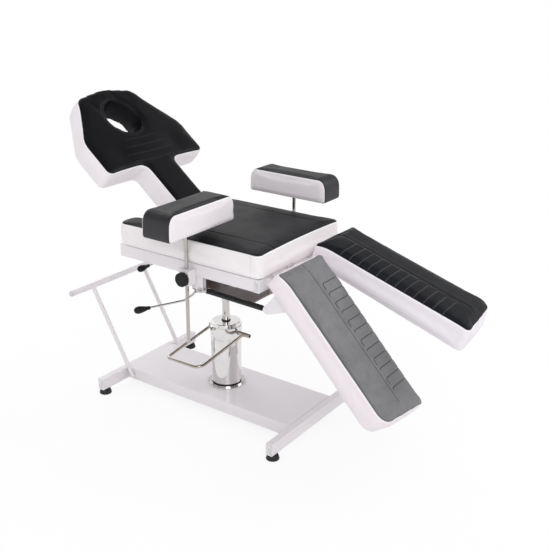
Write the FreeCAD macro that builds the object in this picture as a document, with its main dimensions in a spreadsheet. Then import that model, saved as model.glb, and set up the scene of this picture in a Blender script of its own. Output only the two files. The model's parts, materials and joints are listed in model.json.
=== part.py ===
import FreeCAD, Part
import Sketcher
import math
import os
import re
from FreeCAD import Placement, Rotation, Vector

# Hydraulic tattoo chair. Millimetres. The origin is on the floor under the pump's axis, +Z is up,
# +Y points to the head end and -X is the side of the armrest that is swung across the seat.
sizes = {
    # Floor frame
    "beam_length": 600,
    "beam_width": 30,
    "beam_height": 50,
    "beam_wall": 2.5,
    "beam_clearance": 24,
    "beam_round": 3,
    "cap_thick": 2.5,
    "platform_foot_reach": 418,
    "platform_head_reach": 423,
    "platform_width": 294,
    "platform_gauge": 3,
    "platform_bend": 5,
    "foot_inset": 24,
    "foot_radius": 27,
    "foot_top_radius": 21,
    "foot_height": 20,
    "foot_round": 4,
    "stud_nut_radius": 9,
    "rear_leg_radius": 9,
    "rear_leg_start_y": 391,
    "rear_leg_start_z": 40,
    "rear_leg_slope_share": 0.575,
    "rear_leg_rise": 372,
    "rear_leg_wall": 2,
    "crossbar_radius": 12.5,
    "crossbar_length": 552,
    "crossbar_wall": 2,
    "crossbar_cap_thick": 3,
    # Pump
    "flange_radius": 79,
    "flange_step_radius": 71,
    "flange_thick": 5,
    "flange_step_thick": 5,
    "seal_radius": 59,
    "seal_thick": 5,
    "sleeve_radius": 62.5,
    "sleeve_wall": 2.5,
    "sleeve_height": 197,
    "joint_line": 1,
    "cap_height": 66.5,
    "cap_wall": 3,
    "cap_round": 3,
    "cap_draw": 4,
    "cap_taper": 15,
    "lobe_rise": 3,
    "lobe_half_width": 60,
    "lobe_depth": 55,
    "lobe_round": 14,
    "barrel_radius": 38,
    "barrel_floor": 12,
    "barrel_head": 8,
    "piston_radius": 15,
    "rod_bottom_gap": 30,
    "rod_fit": 0.05,
    "rod_reach": 88,
    "wiper_radius": 19,
    "wiper_height": 5,
    "wiper_fit": 0.3,
    # Pedal
    "pedal_drop_angle": 8,
    "pedal_axis_below_top": 41,
    "pedal_reach": 284,
    "pedal_near_offset": 90,
    "pedal_far_offset": 74,
    "pedal_rod_radius": 6,
    "pedal_far_bend": 18,
    "pedal_near_bend": 34,
    "pedal_hub_radius": 9,
    "pedal_hub_start": 66.5,
    "pedal_near_end": 98,
    "pedal_far_end": 82,
    "pedal_stub_radius": 8.5,
    "pedal_stub_bore": 6.5,
    "pedal_stub_length": 22,
    "pivot_radius": 5.5,
    "pivot_fit": 0.05,
    "pivot_collar_radius": 8.5,
    # Lift head
    "socket_radius": 17,
    "socket_top_radius": 30,
    "socket_height": 60,
    "saddle_half_width": 80,
    "saddle_foot_y": -197,
    "saddle_head_y": 98,
    "saddle_gauge": 6,
    "saddle_skirt": 13,
    "saddle_lip": 48,
    "saddle_web_x": 26,
    "saddle_top_reach": 36,
    "saddle_bolt_inset": 20,
    "saddle_bolt_radius": 8,
    "saddle_bolt_height": 6,
    # Seat tray
    "tray_bottom": 639,
    "rail_height": 50,
    "rail_width": 30,
    "rail_wall": 2.5,
    "rail_round": 3,
    "tray_half_width": 260,
    "tray_foot_reach": 358,
    "tray_head_reach": 317,
    "hinge_lug_thick": 5,
    "hinge_pin_radius": 4,
    "hinge_knuckle_radius": 7.5,
    "hinge_knuckle_length": 30,
    "hinge_gap": 0.4,
    "hinge_fit": 0.05,
    "hinge_head_radius": 6,
    "leg_hinge_reach": 388,
    "leg_hinge_below_pad": 8,
    "leg_bar_inner_x": 70,
    "leg_bar_outer_x": 205,
    # Seat cushion
    "pad_thick": 90,
    "pad_lift": 1,
    "board_thick": 12,
    "board_inset": 22,
    "board_gap": 0.3,
    "board_corner": 2,
    "seat_half_width": 275,
    "seat_foot_reach": 371,
    "seat_head_reach": 317,
    "seat_corner": 30,
    "notch_half_width": 176,
    "notch_y": 140,
    "notch_mouth_round": 44,
    "notch_round": 30,
    "crown": 6,
    "side_draw": 5,
    "edge_draw": 3,
    "edge_round": 7,
    "foot_edge_round": 4,
    "seam_inset": 103,
    "seam_end_gap": 10,
    "seam_radius": 2.2,
    "seam_bite": 1.1,
    # Leg rests
    "near_leg_tilt": 47,
    "far_leg_tilt": 18,
    "leg_inner_x": 5,
    "leg_outer_x": 278,
    "leg_start": -5,
    "leg_length": 645,
    "leg_end_slant": 32,
    "leg_corner": 62,
    "leg_head_corner": 14,
    "leg_inner_corner": 24,
    "leg_bar_width": 30,
    "leg_bar_gauge": 6,
    "leg_bar_length": 520,
    "leg_seam_x": 146,
    "leg_stitch_first": 105,
    "leg_stitch_pitch": 39.5,
    "leg_stitch_gap": 14,
    "leg_stitch_end_gap": 9,
    # Gas struts
    "strut_x": 250,
    "strut_eye_y": -86,
    "strut_eye_z": 589,
    "leg_pin_along": 71,
    "leg_pin_below": 70,
    "strut_tube_radius": 10.5,
    "strut_tube_wall": 1.5,
    "strut_tube_length": 244,
    "strut_rod_radius": 5,
    "strut_end_length": 22,
    "strut_eye_radius": 9,
    "strut_eye_width": 10,
    "strut_pin_radius": 4,
    "strut_pin_fit": 0.05,
    "strut_guide": 10,
    "strut_piston": 8,
    "release_radius": 12,
    "release_thick": 5,
    "fork_gap": 0.6,
    "fork_gauge": 4,
    "open_pivot_slack": 5,
    "far_open_pivot_slack": 7.2,
    "slack_eye_rim": 3.4,
    "strut_rod_length": 200,
    "strut_fitting_radius": 7.5,
    "strut_floor": 4,
    "strut_neck_radius": 4.6,
    "strut_head_gap": 3,
    "strut_collar_start": 16,
    "fork_tip_radius": 12,
    "fork_root_foot": 50,
    "fork_root_head": 120,
    "pin_head_radius": 9.5,
    "pin_head_thick": 3,
    # Backrest
    "back_tilt": 39,
    "back_pad_lift": 14,
    "back_bar_heel": -4,
    "back_cross_half": 200,
    "back_cross_inset": 20,
    "back_stub_length": 25,
    "back_stitch_first": 350,
    "back_stitch_pitch": 38,
    "back_stitch_half": 150,
    "back_stitch_step": 23,
    "face_lining": 6,
    "crest_sweep": 300,
    "back_hinge_y": 148.5,
    "back_hinge_z": 678,
    "back_tube_radius": 10,
    "back_tube_wall": 2,
    "back_bar_x": 55,
    "back_bar_width": 34,
    "back_bar_gauge": 6,
    "back_bar_length": 476,
    "neck_start": 77,
    "neck_half_width": 86,
    "neck_corner": 22,
    "shoulder_y": 322,
    "shoulder_half_width": 284,
    "shoulder_round": 26,
    "armpit_round": 26,
    "temple_y": 495,
    "temple_half_width": 284,
    "crest_y": 690,
    "crest_half_width": 158,
    "crest_bulge": 28,
    "temple_round": 90,
    "crest_round": 55,
    "face_y": 575,
    "face_radius": 85,
    "back_strut_x": 150,
    "back_eye_y": -160,
    "back_eye_z": 600,
    "back_pin_along": -12,
    "back_pin_below": 76,
    "back_tube_length": 228,
    # Armrests
    "post_setoff": 23,
    "near_post_y": -42,
    "far_post_y": -135,
    "post_radius": 7,
    "post_fit": 0.05,
    "post_length": 466,
    "near_arm_height": 915,
    "far_arm_height": 928,
    "arm_thick": 73,
    "arm_length": 364,
    "arm_width": 119,
    "arm_round": 34,
    "arm_foot_round": 9,
    "arm_plate_gauge": 5,
    "arm_plate_length": 180,
    "arm_plate_width": 70,
    "arm_hub_radius": 15,
    "arm_hub_height": 16,
    "near_arm_turn": 90,
    "near_arm_shift": 20,
    "far_arm_turn": 0,
    "far_arm_shift": 0,
    "clamp_width": 52,
    "clamp_depth": 40,
    "clamp_bottom": 612,
    "clamp_height": 59,
    "clamp_round": 4,
    "knob_radius": 27,
    "knob_thick": 18,
    "knob_gap": 3,
    "knob_stem_radius": 5,
    "knob_notch_radius": 3.6,
    "knob_z": 636,
    "knob_face_round": 4,
    # Release levers
    "lever_radius": 4,
    "lever_tab_drop": 5,
    "lever_offset": 28,
    "lever_pin_radius": 3,
    "lever_head_radius": 6,
    "lever_head_thick": 2,
    "lever_hub_radius": 7,
    "lever_hub_height": 12,
    "leg_lever_side_step": 40,
    "leg_lever_back_step": -16,
    "leg_lever_elbow_reach": 100,
    "leg_lever_elbow_step": 12,
    "leg_lever_reach": 218,
    "leg_lever_turn": 23,
    "leg_lever_tail_step": 6,
    "leg_lever_tail_rise": 3,
    "lever_bend": 12,
    "back_lever_reach": 62,
    "grip_round": 9,
    "grip_length": 58,
    "grip_radius": 12,
    "grip_neck_radius": 6.5,
    # Shared by all cuts
    "overrun": 4,
}
stitch_count = 12
knob_notches = 12

doc = FreeCAD.newDocument("TattooChair")
sheet = doc.addObject("Spreadsheet::Sheet", "Sizes")
for row, (alias, number) in enumerate(sizes.items(), start=1):
    sheet.set(f"A{row}", alias)
    sheet.set(f"B{row}", str(number))
    sheet.setAlias(f"B{row}", alias)
doc.recompute()
subparts = []


def size(alias):
    return float(sheet.get(alias))


def sized(text):
    """Gives each size named in an expression its place in the sheet."""
    named = lambda word: "Sizes." + word.group() if word.group() in sizes else word.group()
    return re.sub(r"[a-z][a-z_0-9]*", named, str(text))


def bind(piece, **links):
    for prop, text in links.items():
        piece.setExpression(prop, sized(text))


def move(piece, x="0", y="0", z="0"):
    bind(piece, **{".Placement.Base.x": x, ".Placement.Base.y": y, ".Placement.Base.z": z})
    return piece


def tilt(piece, angle):
    """Turns a piece about the X axis through its own origin by a named angle."""
    piece.Placement = Placement(Vector(), Rotation(Vector(1, 0, 0), 1))
    bind(piece, **{".Placement.Rotation.Angle": angle})
    return piece


def box(x, y, z, length, width, height):
    piece = doc.addObject("Part::Box", "Block")
    bind(piece, Length=length, Width=width, Height=height)
    return move(piece, x, y, z)


turns = {
    "x": Rotation(Vector(0, 1, 0), 90),
    "y": Rotation(Vector(1, 0, 0), -90),
    "z": Rotation(),
}


def round_bar(axis, x, y, z, radius, length):
    piece = doc.addObject("Part::Cylinder", "Bar")
    piece.Placement = Placement(Vector(), turns[axis])
    bind(piece, Radius=radius, Height=length)
    return move(piece, x, y, z)


def fuse(*pieces):
    joined = doc.addObject("Part::MultiFuse", "Union")
    joined.Shapes = list(pieces)
    joined.Refine = True
    return joined


def cut(base, *tools):
    less = doc.addObject("Part::Cut", "Cut")
    less.Base = base
    less.Tool = tools[0] if len(tools) == 1 else fuse(*tools)
    less.Refine = True
    return less


def group(*pieces):
    together = doc.addObject("Part::Compound", "Set")
    together.Links = list(pieces)
    return together


def soften(base, radius, wanted):
    """Rounds the edges of a piece for which wanted(edge) is true."""
    doc.recompute()
    softened = doc.addObject("Part::Fillet", "Rounded")
    softened.Base = base
    value = size(radius)
    edges = [n for n, edge in enumerate(base.Shape.Edges, start=1) if wanted(edge)]
    softened.Edges = [(n, value, value) for n in edges]
    return softened


def along(axis):
    """True for straight edges that run along one axis."""
    lane = {"x": Vector(1, 0, 0), "y": Vector(0, 1, 0), "z": Vector(0, 0, 1)}[axis]

    def test(edge):
        if not isinstance(edge.Curve, Part.Line):
            return False
        return abs(edge.tangentAt(edge.FirstParameter).dot(lane)) > 1 - 1e-6

    return test


def finish(label, piece):
    piece.Label = label
    subparts.append(piece)
    return piece


def plane_of(body, role):
    return next(item for item in body.Origin.OriginFeatures if item.Role == role)


def outline_sketch(body, role, points):
    """A closed outline of straight sides whose corners are bound to the sheet."""
    sketch = body.newObject("Sketcher::SketchObject", "Outline")
    sketch.AttachmentSupport = [(plane_of(body, role), "")]
    sketch.MapMode = "FlatFace"
    doc.recompute()
    corners = [Vector(measure(u), measure(v), 0) for u, v in points]
    count = len(corners)
    for n, corner in enumerate(corners):
        sketch.addGeometry(Part.LineSegment(corner, corners[(n + 1) % count]), False)
    for n in range(count):
        sketch.addConstraint(Sketcher.Constraint("Coincident", n, 2, (n + 1) % count, 1))
    for n, (u, v) in enumerate(points):
        for kind, text, axis in (("DistanceX", u, -2), ("DistanceY", v, -1)):
            if text == "0":
                sketch.addConstraint(Sketcher.Constraint("PointOnObject", n, 1, axis))
            else:
                rule = sketch.addConstraint(Sketcher.Constraint(kind, -1, 1, n, 1, measure(text)))
                sketch.setExpression(f"Constraints[{rule}]", sized(text))
    return sketch


def measure(text):
    """The present value of an expression in named sizes."""
    probe = doc.getObject("Probe") or doc.addObject("App::FeaturePython", "Probe")
    if not hasattr(probe, "Value"):
        probe.addProperty("App::PropertyFloat", "Value")
    probe.setExpression("Value", sized(text))
    probe.recompute()
    return probe.Value


def turned(points):
    """A body of revolution about its own Z axis, from (radius, height) corners."""
    body = doc.addObject("PartDesign::Body", "Turned")
    sketch = outline_sketch(body, "XZ_Plane", points)
    spin = body.newObject("PartDesign::Revolution", "Revolution")
    spin.Profile = sketch
    spin.ReferenceAxis = (sketch, ["V_Axis"])
    spin.Angle = 360
    return body


def padded_outline(role, points, length, centred=False):
    """A body with one outline pushed out by a named length."""
    body = doc.addObject("PartDesign::Body", "Folded")
    sketch = outline_sketch(body, role, points)
    pad = body.newObject("PartDesign::Pad", "Pad")
    pad.Profile = sketch
    pad.Midplane = centred
    pad.setExpression("Length", sized(length))
    return body


def body_fillet(body, radius, wanted):
    doc.recompute()
    previous = body.Tip
    names = [f"Edge{n}" for n, edge in enumerate(previous.Shape.Edges, start=1) if wanted(edge)]
    feature = body.newObject("PartDesign::Fillet", "Fillet")
    feature.Base = (previous, names)
    bind(feature, Radius=radius)
    return body


def rounded_wire(corners, level=0.0):
    """A closed flat wire through (x, y, radius) corners, each rounded by an arc of its radius."""
    count = len(corners)
    spots = [Vector(x, y, level) for x, y, _ in corners]
    runs = []
    for n, (_, _, radius) in enumerate(corners):
        back = (spots[n - 1] - spots[n]).normalize()
        ahead = (spots[(n + 1) % count] - spots[n]).normalize()
        half = back.getAngle(ahead) / 2
        middle = (back + ahead).normalize()
        start = spots[n] + back * (radius / math.tan(half))
        end = spots[n] + ahead * (radius / math.tan(half))
        crest = spots[n] + middle * (radius / math.sin(half) - radius)
        runs.append((start, crest, end))
    edges = []
    for n, (start, crest, end) in enumerate(runs):
        edges.append(Part.Arc(start, crest, end).toShape())
        edges.append(Part.LineSegment(end, runs[(n + 1) % count][0]).toShape())
    return Part.Wire(edges)


def drawn(corners, inset):
    """The same outline drawn in all round by an inset."""
    count = len(corners)
    moved = []
    for n, (x, y, radius) in enumerate(corners):
        here = Vector(x, y, 0)
        back = (here - Vector(*corners[n - 1][:2], 0)).normalize()
        ahead = (Vector(*corners[(n + 1) % count][:2], 0) - here).normalize()
        turn = back.x * ahead.y - back.y * ahead.x
        share = inset / (1 + back.dot(ahead))
        shift = Vector(-back.y - ahead.y, back.x + ahead.x, 0) * share
        grown = max(radius - inset, size("board_corner")) if turn > 0 else radius + inset
        moved.append((x + shift.x, y + shift.y, grown))
    return moved


def upholstered(corners, thick, crown, mid_x):
    """A stuffed pad: its sides draw in to the top and bottom, and its top is crowned across."""
    draw = size("side_draw")
    top_draw = size("edge_draw")
    stages = ((0, draw), (thick / 2, 0), (thick, top_draw))
    wires = []
    for level, inset in stages:
        wires.append(rounded_wire(drawn(corners, inset), level))
    sides = Part.makeLoft(wires, True, True)
    low = min(y for _, y, _ in corners) - size("overrun")
    high = max(y for _, y, _ in corners) + size("overrun")
    bow = crown_radius(corners, crown)
    barrel = Part.makeCylinder(bow, high - low, Vector(mid_x, low, thick - bow), Vector(0, 1, 0))
    pad = sides.common(barrel).Solids[0]
    rim = [edge for edge in pad.Edges if edge.BoundBox.ZMin > thick - 3 * crown]
    pad = pad.makeFillet(size("edge_round"), rim)
    hem = [edge for edge in pad.Edges if edge.BoundBox.ZMax < crown / 2]
    return pad.makeFillet(size("foot_edge_round"), hem)


def crown_radius(corners, crown):
    width = max(x for x, _, _ in corners) - min(x for x, _, _ in corners)
    return (width * width / 4 + crown * crown) / (2 * crown)


def shaped(label, shape):
    piece = doc.addObject("Part::Feature", "Shaped")
    piece.Shape = shape
    return finish(label, piece)


def groove(start, end, top, mid_x, bow):
    """A thin round stitch line in a crowned top, between two (x, y) spots."""
    ends = []
    for x, y in (start, end):
        level = top - bow + math.sqrt(bow * bow - (x - mid_x) ** 2)
        ends.append(Vector(x, y, level + size("seam_radius") - size("seam_bite")))
    run = ends[1] - ends[0]
    return Part.makeCylinder(size("seam_radius"), run.Length, ends[0], run)


def bent_bar(spots, radius):
    """A round bar along straight runs joined by arcs; each (x, y, z, bend) is one corner."""
    points = [Vector(x, y, z) for x, y, z, _ in spots]
    edges = []
    last = points[0]
    for n in range(1, len(points) - 1):
        back = (points[n - 1] - points[n]).normalize()
        ahead = (points[n + 1] - points[n]).normalize()
        half = back.getAngle(ahead) / 2
        reach = spots[n][3] / math.tan(half)
        middle = (back + ahead).normalize()
        start = points[n] + back * reach
        crest = points[n] + middle * (spots[n][3] / math.sin(half) - spots[n][3])
        end = points[n] + ahead * reach
        edges.append(Part.LineSegment(last, start).toShape())
        edges.append(Part.Arc(start, crest, end).toShape())
        last = end
    edges.append(Part.LineSegment(last, points[-1]).toShape())
    ring = Part.Circle(points[0], points[1] - points[0], radius).toShape()
    return Part.Wire(edges).makePipeShell([Part.Wire([ring])], True, True)


# Floor frame: two box beams across, a folded platform between them, feet and end caps


def beam(y):
    shell = box("-beam_length / 2", y, "beam_clearance", "beam_length", "beam_width", "beam_height")
    hollow = box(
        "-beam_length / 2 - overrun",
        f"{y} + beam_wall",
        "beam_clearance + beam_wall",
        "beam_length + 2 * overrun",
        "beam_width - 2 * beam_wall",
        "beam_height - 2 * beam_wall",
    )
    return cut(soften(shell, "beam_round", along("x")), hollow)


finish("cross_beams", group(beam("-platform_foot_reach - beam_width"), beam("platform_head_reach")))


def beam_caps():
    caps = []
    for y in ("-platform_foot_reach - beam_width", "platform_head_reach"):
        for x in ("-beam_length / 2", "beam_length / 2 - cap_thick"):
            caps.append(
                box(
                    x,
                    f"{y} + beam_wall",
                    "beam_clearance + beam_wall",
                    "cap_thick",
                    "beam_width - 2 * beam_wall",
                    "beam_height - 2 * beam_wall",
                )
            )
    return caps


def platform():
    half = "platform_width / 2"
    inner = "platform_width / 2 - platform_gauge"
    body = padded_outline(
        "XZ_Plane",
        [
            (f"-{half}", "0"),
            (f"-({inner})", "0"),
            (f"-({inner})", "beam_height - platform_gauge"),
            (inner, "beam_height - platform_gauge"),
            (inner, "0"),
            (half, "0"),
            (half, "beam_height"),
            (f"-{half}", "beam_height"),
        ],
        "platform_foot_reach + platform_head_reach",
    )
    folds = lambda edge: along("y")(edge) and edge.BoundBox.ZMin > size("beam_height") - size("beam_wall") / 2
    body_fillet(body, "platform_bend", folds)
    move(body, "0", "platform_head_reach", "beam_clearance")
    finish("base_platform", body)


platform()


def feet():
    pads = []
    nuts = []
    for x in ("-beam_length / 2 + foot_inset", "beam_length / 2 - foot_inset"):
        for y in ("-platform_foot_reach - beam_width / 2", "platform_head_reach + beam_width / 2"):
            pad = doc.addObject("Part::Cone", "Pad")
            bind(pad, Radius1="foot_radius", Radius2="foot_top_radius", Height="foot_height")
            pad = soften(pad, "foot_round", lambda edge: edge.Closed)
            pads.append(move(pad, x, y, "0"))
            nut = doc.addObject("Part::Prism", "Nut")
            nut.Polygon = 6
            bind(nut, Circumradius="stud_nut_radius", Height="beam_clearance - foot_height")
            nuts.append(move(nut, x, y, "foot_height"))
    finish("rubber_feet", group(*pads))
    finish("foot_nuts", group(*nuts))


feet()

# Rear frame: two raked legs on the platform's sides and a crossbar


def leg_y(z):
    return f"(rear_leg_start_y + ({z} - rear_leg_start_z) * rear_leg_slope_share)"


def rear_frame():
    rake = math.degrees(math.atan(size("rear_leg_slope_share")))
    run = size("rear_leg_rise") / math.cos(math.radians(rake))
    bar_y = leg_y("(rear_leg_start_z + rear_leg_rise)")
    bar_z = "rear_leg_start_z + rear_leg_rise"
    legs = []
    for side in ("-", ""):
        tube = Part.makeCylinder(size("rear_leg_radius"), run)
        tube = tube.cut(Part.makeCylinder(size("rear_leg_radius") - size("rear_leg_wall"), run))
        leg = doc.addObject("Part::Feature", "Leg")
        leg.Shape = tube
        leg.Placement = Placement(Vector(), Rotation(Vector(1, 0, 0), -rake))
        x = f"{side}(platform_width / 2 + rear_leg_radius)"
        legs.append(move(leg, x, "rear_leg_start_y", "rear_leg_start_z"))
    reach = "-crossbar_length / 2"
    bar_length = "crossbar_length + 2 * overrun"
    hole = round_bar("x", reach, bar_y, bar_z, "crossbar_radius", "crossbar_length")
    legs = cut(group(*legs), hole)
    tube = round_bar("x", reach, bar_y, bar_z, "crossbar_radius", "crossbar_length")
    inside = "crossbar_radius - crossbar_wall"
    bore = round_bar("x", f"{reach} - overrun", bar_y, bar_z, inside, bar_length)
    finish("rear_frame", group(legs, cut(tube, bore)))
    caps = beam_caps()
    for x in (f"{reach} - crossbar_cap_thick", "crossbar_length / 2"):
        plug = round_bar("x", x, bar_y, bar_z, "crossbar_radius", "crossbar_cap_thick")
        caps.append(plug)
    finish("frame_end_caps", group(*caps))


rear_frame()

# Pump: flange, seal, chrome sleeve and head over an inner barrel

floor_top = "(beam_clearance + beam_height)"
flange_top = f"({floor_top} + flange_thick + flange_step_thick)"
sleeve_foot = f"({flange_top} + seal_thick)"
head_foot = f"({sleeve_foot} + sleeve_height + joint_line)"
head_top = f"({head_foot} + cap_height)"
pedal_z = f"({head_top} - pedal_axis_below_top)"


def lobes():
    """The two shield-shaped cheeks that carry the pedal pivots, wrapped round the head."""
    low = f"({head_top} - lobe_depth)"
    reach = "(sleeve_radius + lobe_rise + overrun)"
    high = "lobe_depth - cap_taper"
    blank = box("-lobe_half_width", f"-{reach}", low, "2 * lobe_half_width", f"2 * {reach}", high)
    side = along("y")
    middle = measure(low) + size("lobe_round")
    blank = soften(blank, "lobe_round", lambda edge: side(edge) and edge.BoundBox.ZMax < middle)
    rise = [
        ("sleeve_radius + lobe_rise", "-overrun"),
        (f"{reach} * 2", "-overrun"),
        (f"{reach} * 2", "lobe_depth"),
        ("sleeve_radius + lobe_rise", "lobe_depth"),
    ]
    core = round_bar("z", "0", "0", f"{low} - overrun", "sleeve_radius - cap_wall / 2", "lobe_depth")
    return cut(blank, move(turned(rise), "0", "0", low), core)


def pump():
    bore = "barrel_radius + rod_fit"
    flange = turned(
        [
            (bore, "0"),
            ("flange_radius", "0"),
            ("flange_radius", "flange_thick"),
            ("flange_step_radius", "flange_thick"),
            ("flange_step_radius", "flange_thick + flange_step_thick"),
            (bore, "flange_thick + flange_step_thick"),
        ]
    )
    finish("pump_flange", move(flange, "0", "0", floor_top))
    seal = turned([(bore, "0"), ("seal_radius", "0"), ("seal_radius", "seal_thick"), (bore, "seal_thick")])
    finish("pump_seal_ring", move(seal, "0", "0", flange_top))
    sleeve = turned(
        [
            ("sleeve_radius - sleeve_wall", "0"),
            ("sleeve_radius", "0"),
            ("sleeve_radius", "sleeve_height"),
            ("sleeve_radius - sleeve_wall", "sleeve_height"),
        ]
    )
    finish("pump_sleeve", move(sleeve, "0", "0", sleeve_foot))
    spigot = "sleeve_radius - sleeve_wall - wiper_fit"
    inside = "sleeve_radius - sleeve_wall - cap_wall"
    head = turned(
        [
            (inside, "-joint_line * 3"),
            (spigot, "-joint_line * 3"),
            (spigot, "0"),
            ("sleeve_radius", "0"),
            ("sleeve_radius", "cap_height - cap_taper"),
            ("sleeve_radius - cap_draw", "cap_height"),
            ("wiper_radius", "cap_height"),
            ("wiper_radius", "cap_height - cap_wall * 2"),
            (inside, "cap_height - cap_wall * 2"),
        ]
    )
    top = size("cap_height") - size("rod_fit")
    outer = lambda edge: edge.Closed and edge.BoundBox.XMax > size("wiper_radius") + size("cap_draw")
    body_fillet(head, "cap_round", lambda edge: outer(edge) and edge.BoundBox.ZMin > top)
    move(head, "0", "0", head_foot)
    across = "2 * sleeve_radius + 2 * lobe_rise + 2 * overrun"
    hole = round_bar("y", "0", "-sleeve_radius - lobe_rise - overrun", pedal_z, "pivot_radius", across)
    finish("pump_head", cut(fuse(head, lobes()), hole))
    shoulder = f"{head_top} - {floor_top} - barrel_head"
    barrel = turned(
        [
            ("0", "0"),
            ("barrel_radius", "0"),
            ("barrel_radius", shoulder),
            ("piston_radius + rod_fit", shoulder),
            ("piston_radius + rod_fit", "barrel_floor"),
            ("0", "barrel_floor"),
        ]
    )
    finish("pump_barrel", move(barrel, "0", "0", floor_top))
    wiper = turned(
        [
            ("piston_radius + wiper_fit", "0"),
            ("wiper_radius", "0"),
            ("wiper_radius", "cap_wall * 2"),
            ("piston_radius + wiper_fit + wiper_height / 4", "cap_wall * 2 + wiper_height"),
            ("piston_radius + wiper_fit", "cap_wall * 2 + wiper_height"),
        ]
    )
    finish("rod_wiper", move(wiper, "0", "0", f"{head_top} - cap_wall * 2"))


pump()


def pivots():
    run = "pedal_near_end + wiper_fit - barrel_radius"
    near = round_bar("y", "0", "-pedal_near_end - wiper_fit", pedal_z, "pivot_radius", run)
    run = "pedal_far_end + wiper_fit - barrel_radius"
    far = round_bar("y", "0", "barrel_radius", pedal_z, "pivot_radius", run)
    collar = round_bar("y", "0", "pedal_far_end + wiper_fit", pedal_z, "pivot_collar_radius", "cap_wall")
    finish("pedal_pivots", group(near, fuse(far, collar)))


pivots()


def pedal():
    z = measure(pedal_z)
    reach = size("pedal_reach")
    near = size("pedal_near_offset")
    far = size("pedal_far_offset")
    start = size("pedal_hub_radius") - size("cap_wall") / 2
    loop = bent_bar(
        [
            (-start, far, 0, 0),
            (-reach, far, 0, size("pedal_far_bend")),
            (-reach, -near, 0, size("pedal_near_bend")),
            (-start, -near, 0, 0),
        ],
        size("pedal_rod_radius"),
    )
    bore = size("pivot_radius") + size("pivot_fit")
    lane = Vector(0, 1, 0)
    start = size("pedal_hub_start")
    for y, length in (
        (start, size("pedal_far_end") - start),
        (-size("pedal_near_end"), size("pedal_near_end") - start),
    ):
        hub = Part.makeCylinder(size("pedal_hub_radius"), length, Vector(0, y, 0), lane)
        loop = loop.fuse(hub).cut(Part.makeCylinder(bore, length, Vector(0, y, 0), lane))
    drop = Rotation(Vector(0, 1, 0), -size("pedal_drop_angle"))
    piece = shaped("pedal_loop", loop.removeSplitter())
    piece.Placement = Placement(Vector(0, 0, z), drop)
    out = Vector(0, -1, 0)
    end = Vector(0, -size("pedal_near_end") - size("wiper_fit"), 0)
    sleeve = Part.makeCylinder(size("pedal_stub_radius"), size("pedal_stub_length"), end, out)
    inside = end + out * size("cap_wall")
    mouth = Part.makeCylinder(size("pedal_stub_bore"), size("pedal_stub_length"), inside, out)
    stub = shaped("pedal_stub", sleeve.cut(mouth))
    stub.Placement = Placement(Vector(0, 0, z), drop)


pedal()

# Lift head: rod, socket and the saddle that carries the tray

rod_top = f"({head_top} + rod_reach)"
socket_top = f"({rod_top} + socket_height)"


def lift_head():
    foot = f"({floor_top} + barrel_floor + rod_bottom_gap)"
    rod = round_bar("z", "0", "0", foot, "piston_radius", f"{rod_top} + socket_height / 2 - {foot}")
    finish("piston_rod", rod)
    socket = turned(
        [
            ("piston_radius", "0"),
            ("socket_radius", "0"),
            ("socket_radius", "socket_height / 3"),
            ("socket_top_radius", "socket_height"),
            ("0", "socket_height"),
            ("0", "socket_height / 2"),
            ("piston_radius", "socket_height / 2"),
        ]
    )
    finish("rod_socket", move(socket, "0", "0", rod_top))
    width = "2 * saddle_half_width"
    length = "(saddle_head_y - saddle_foot_y)"
    rise = f"(tray_bottom - {socket_top})"
    edge = "-saddle_half_width"
    outer = box(edge, "saddle_foot_y", socket_top, width, length, rise)
    inner = box(
        f"{edge} - overrun",
        "saddle_foot_y + saddle_gauge",
        f"{socket_top} + saddle_gauge",
        f"{width} + 2 * overrun",
        f"{length} - 2 * saddle_gauge",
        f"{rise} + overrun",
    )
    mouth = box(
        f"{edge} - overrun",
        "saddle_foot_y - overrun",
        f"{socket_top} + saddle_gauge",
        "saddle_half_width + saddle_web_x + overrun",
        "saddle_gauge + 2 * overrun",
        "saddle_lip - saddle_gauge",
    )
    parts = [cut(outer, inner, mouth)]
    for y in ("saddle_foot_y - saddle_top_reach", "saddle_head_y"):
        level = "tray_bottom - saddle_gauge"
        parts.append(box(edge, y, level, width, "saddle_top_reach", "saddle_gauge"))
    for x in (edge, "saddle_half_width - saddle_gauge"):
        level = f"{socket_top} - saddle_skirt"
        parts.append(box(x, "saddle_foot_y", level, "saddle_gauge", length, "saddle_skirt"))
    finish("saddle_bracket", fuse(*parts))


lift_head()

# Seat tray: side rails, foot rail and two cross rails

tray_top = "(tray_bottom + rail_height)"


def tube_rail(axis, x, y, z, length):
    """A hollow rail along X or Y, with its lower corner at x, y, z."""
    wide = "rail_width - 2 * rail_wall"
    high = "rail_height - 2 * rail_wall"
    if axis == "y":
        shell = box(x, y, z, "rail_width", length, "rail_height")
        hollow = box(
            f"{x} + rail_wall", f"{y} - overrun", f"{z} + rail_wall", wide, f"{length} + 2 * overrun", high
        )
    else:
        shell = box(x, y, z, length, "rail_width", "rail_height")
        hollow = box(
            f"{x} - overrun", f"{y} + rail_wall", f"{z} + rail_wall", f"{length} + 2 * overrun", wide, high
        )
    return cut(soften(shell, "rail_round", along(axis)), hollow)


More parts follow.
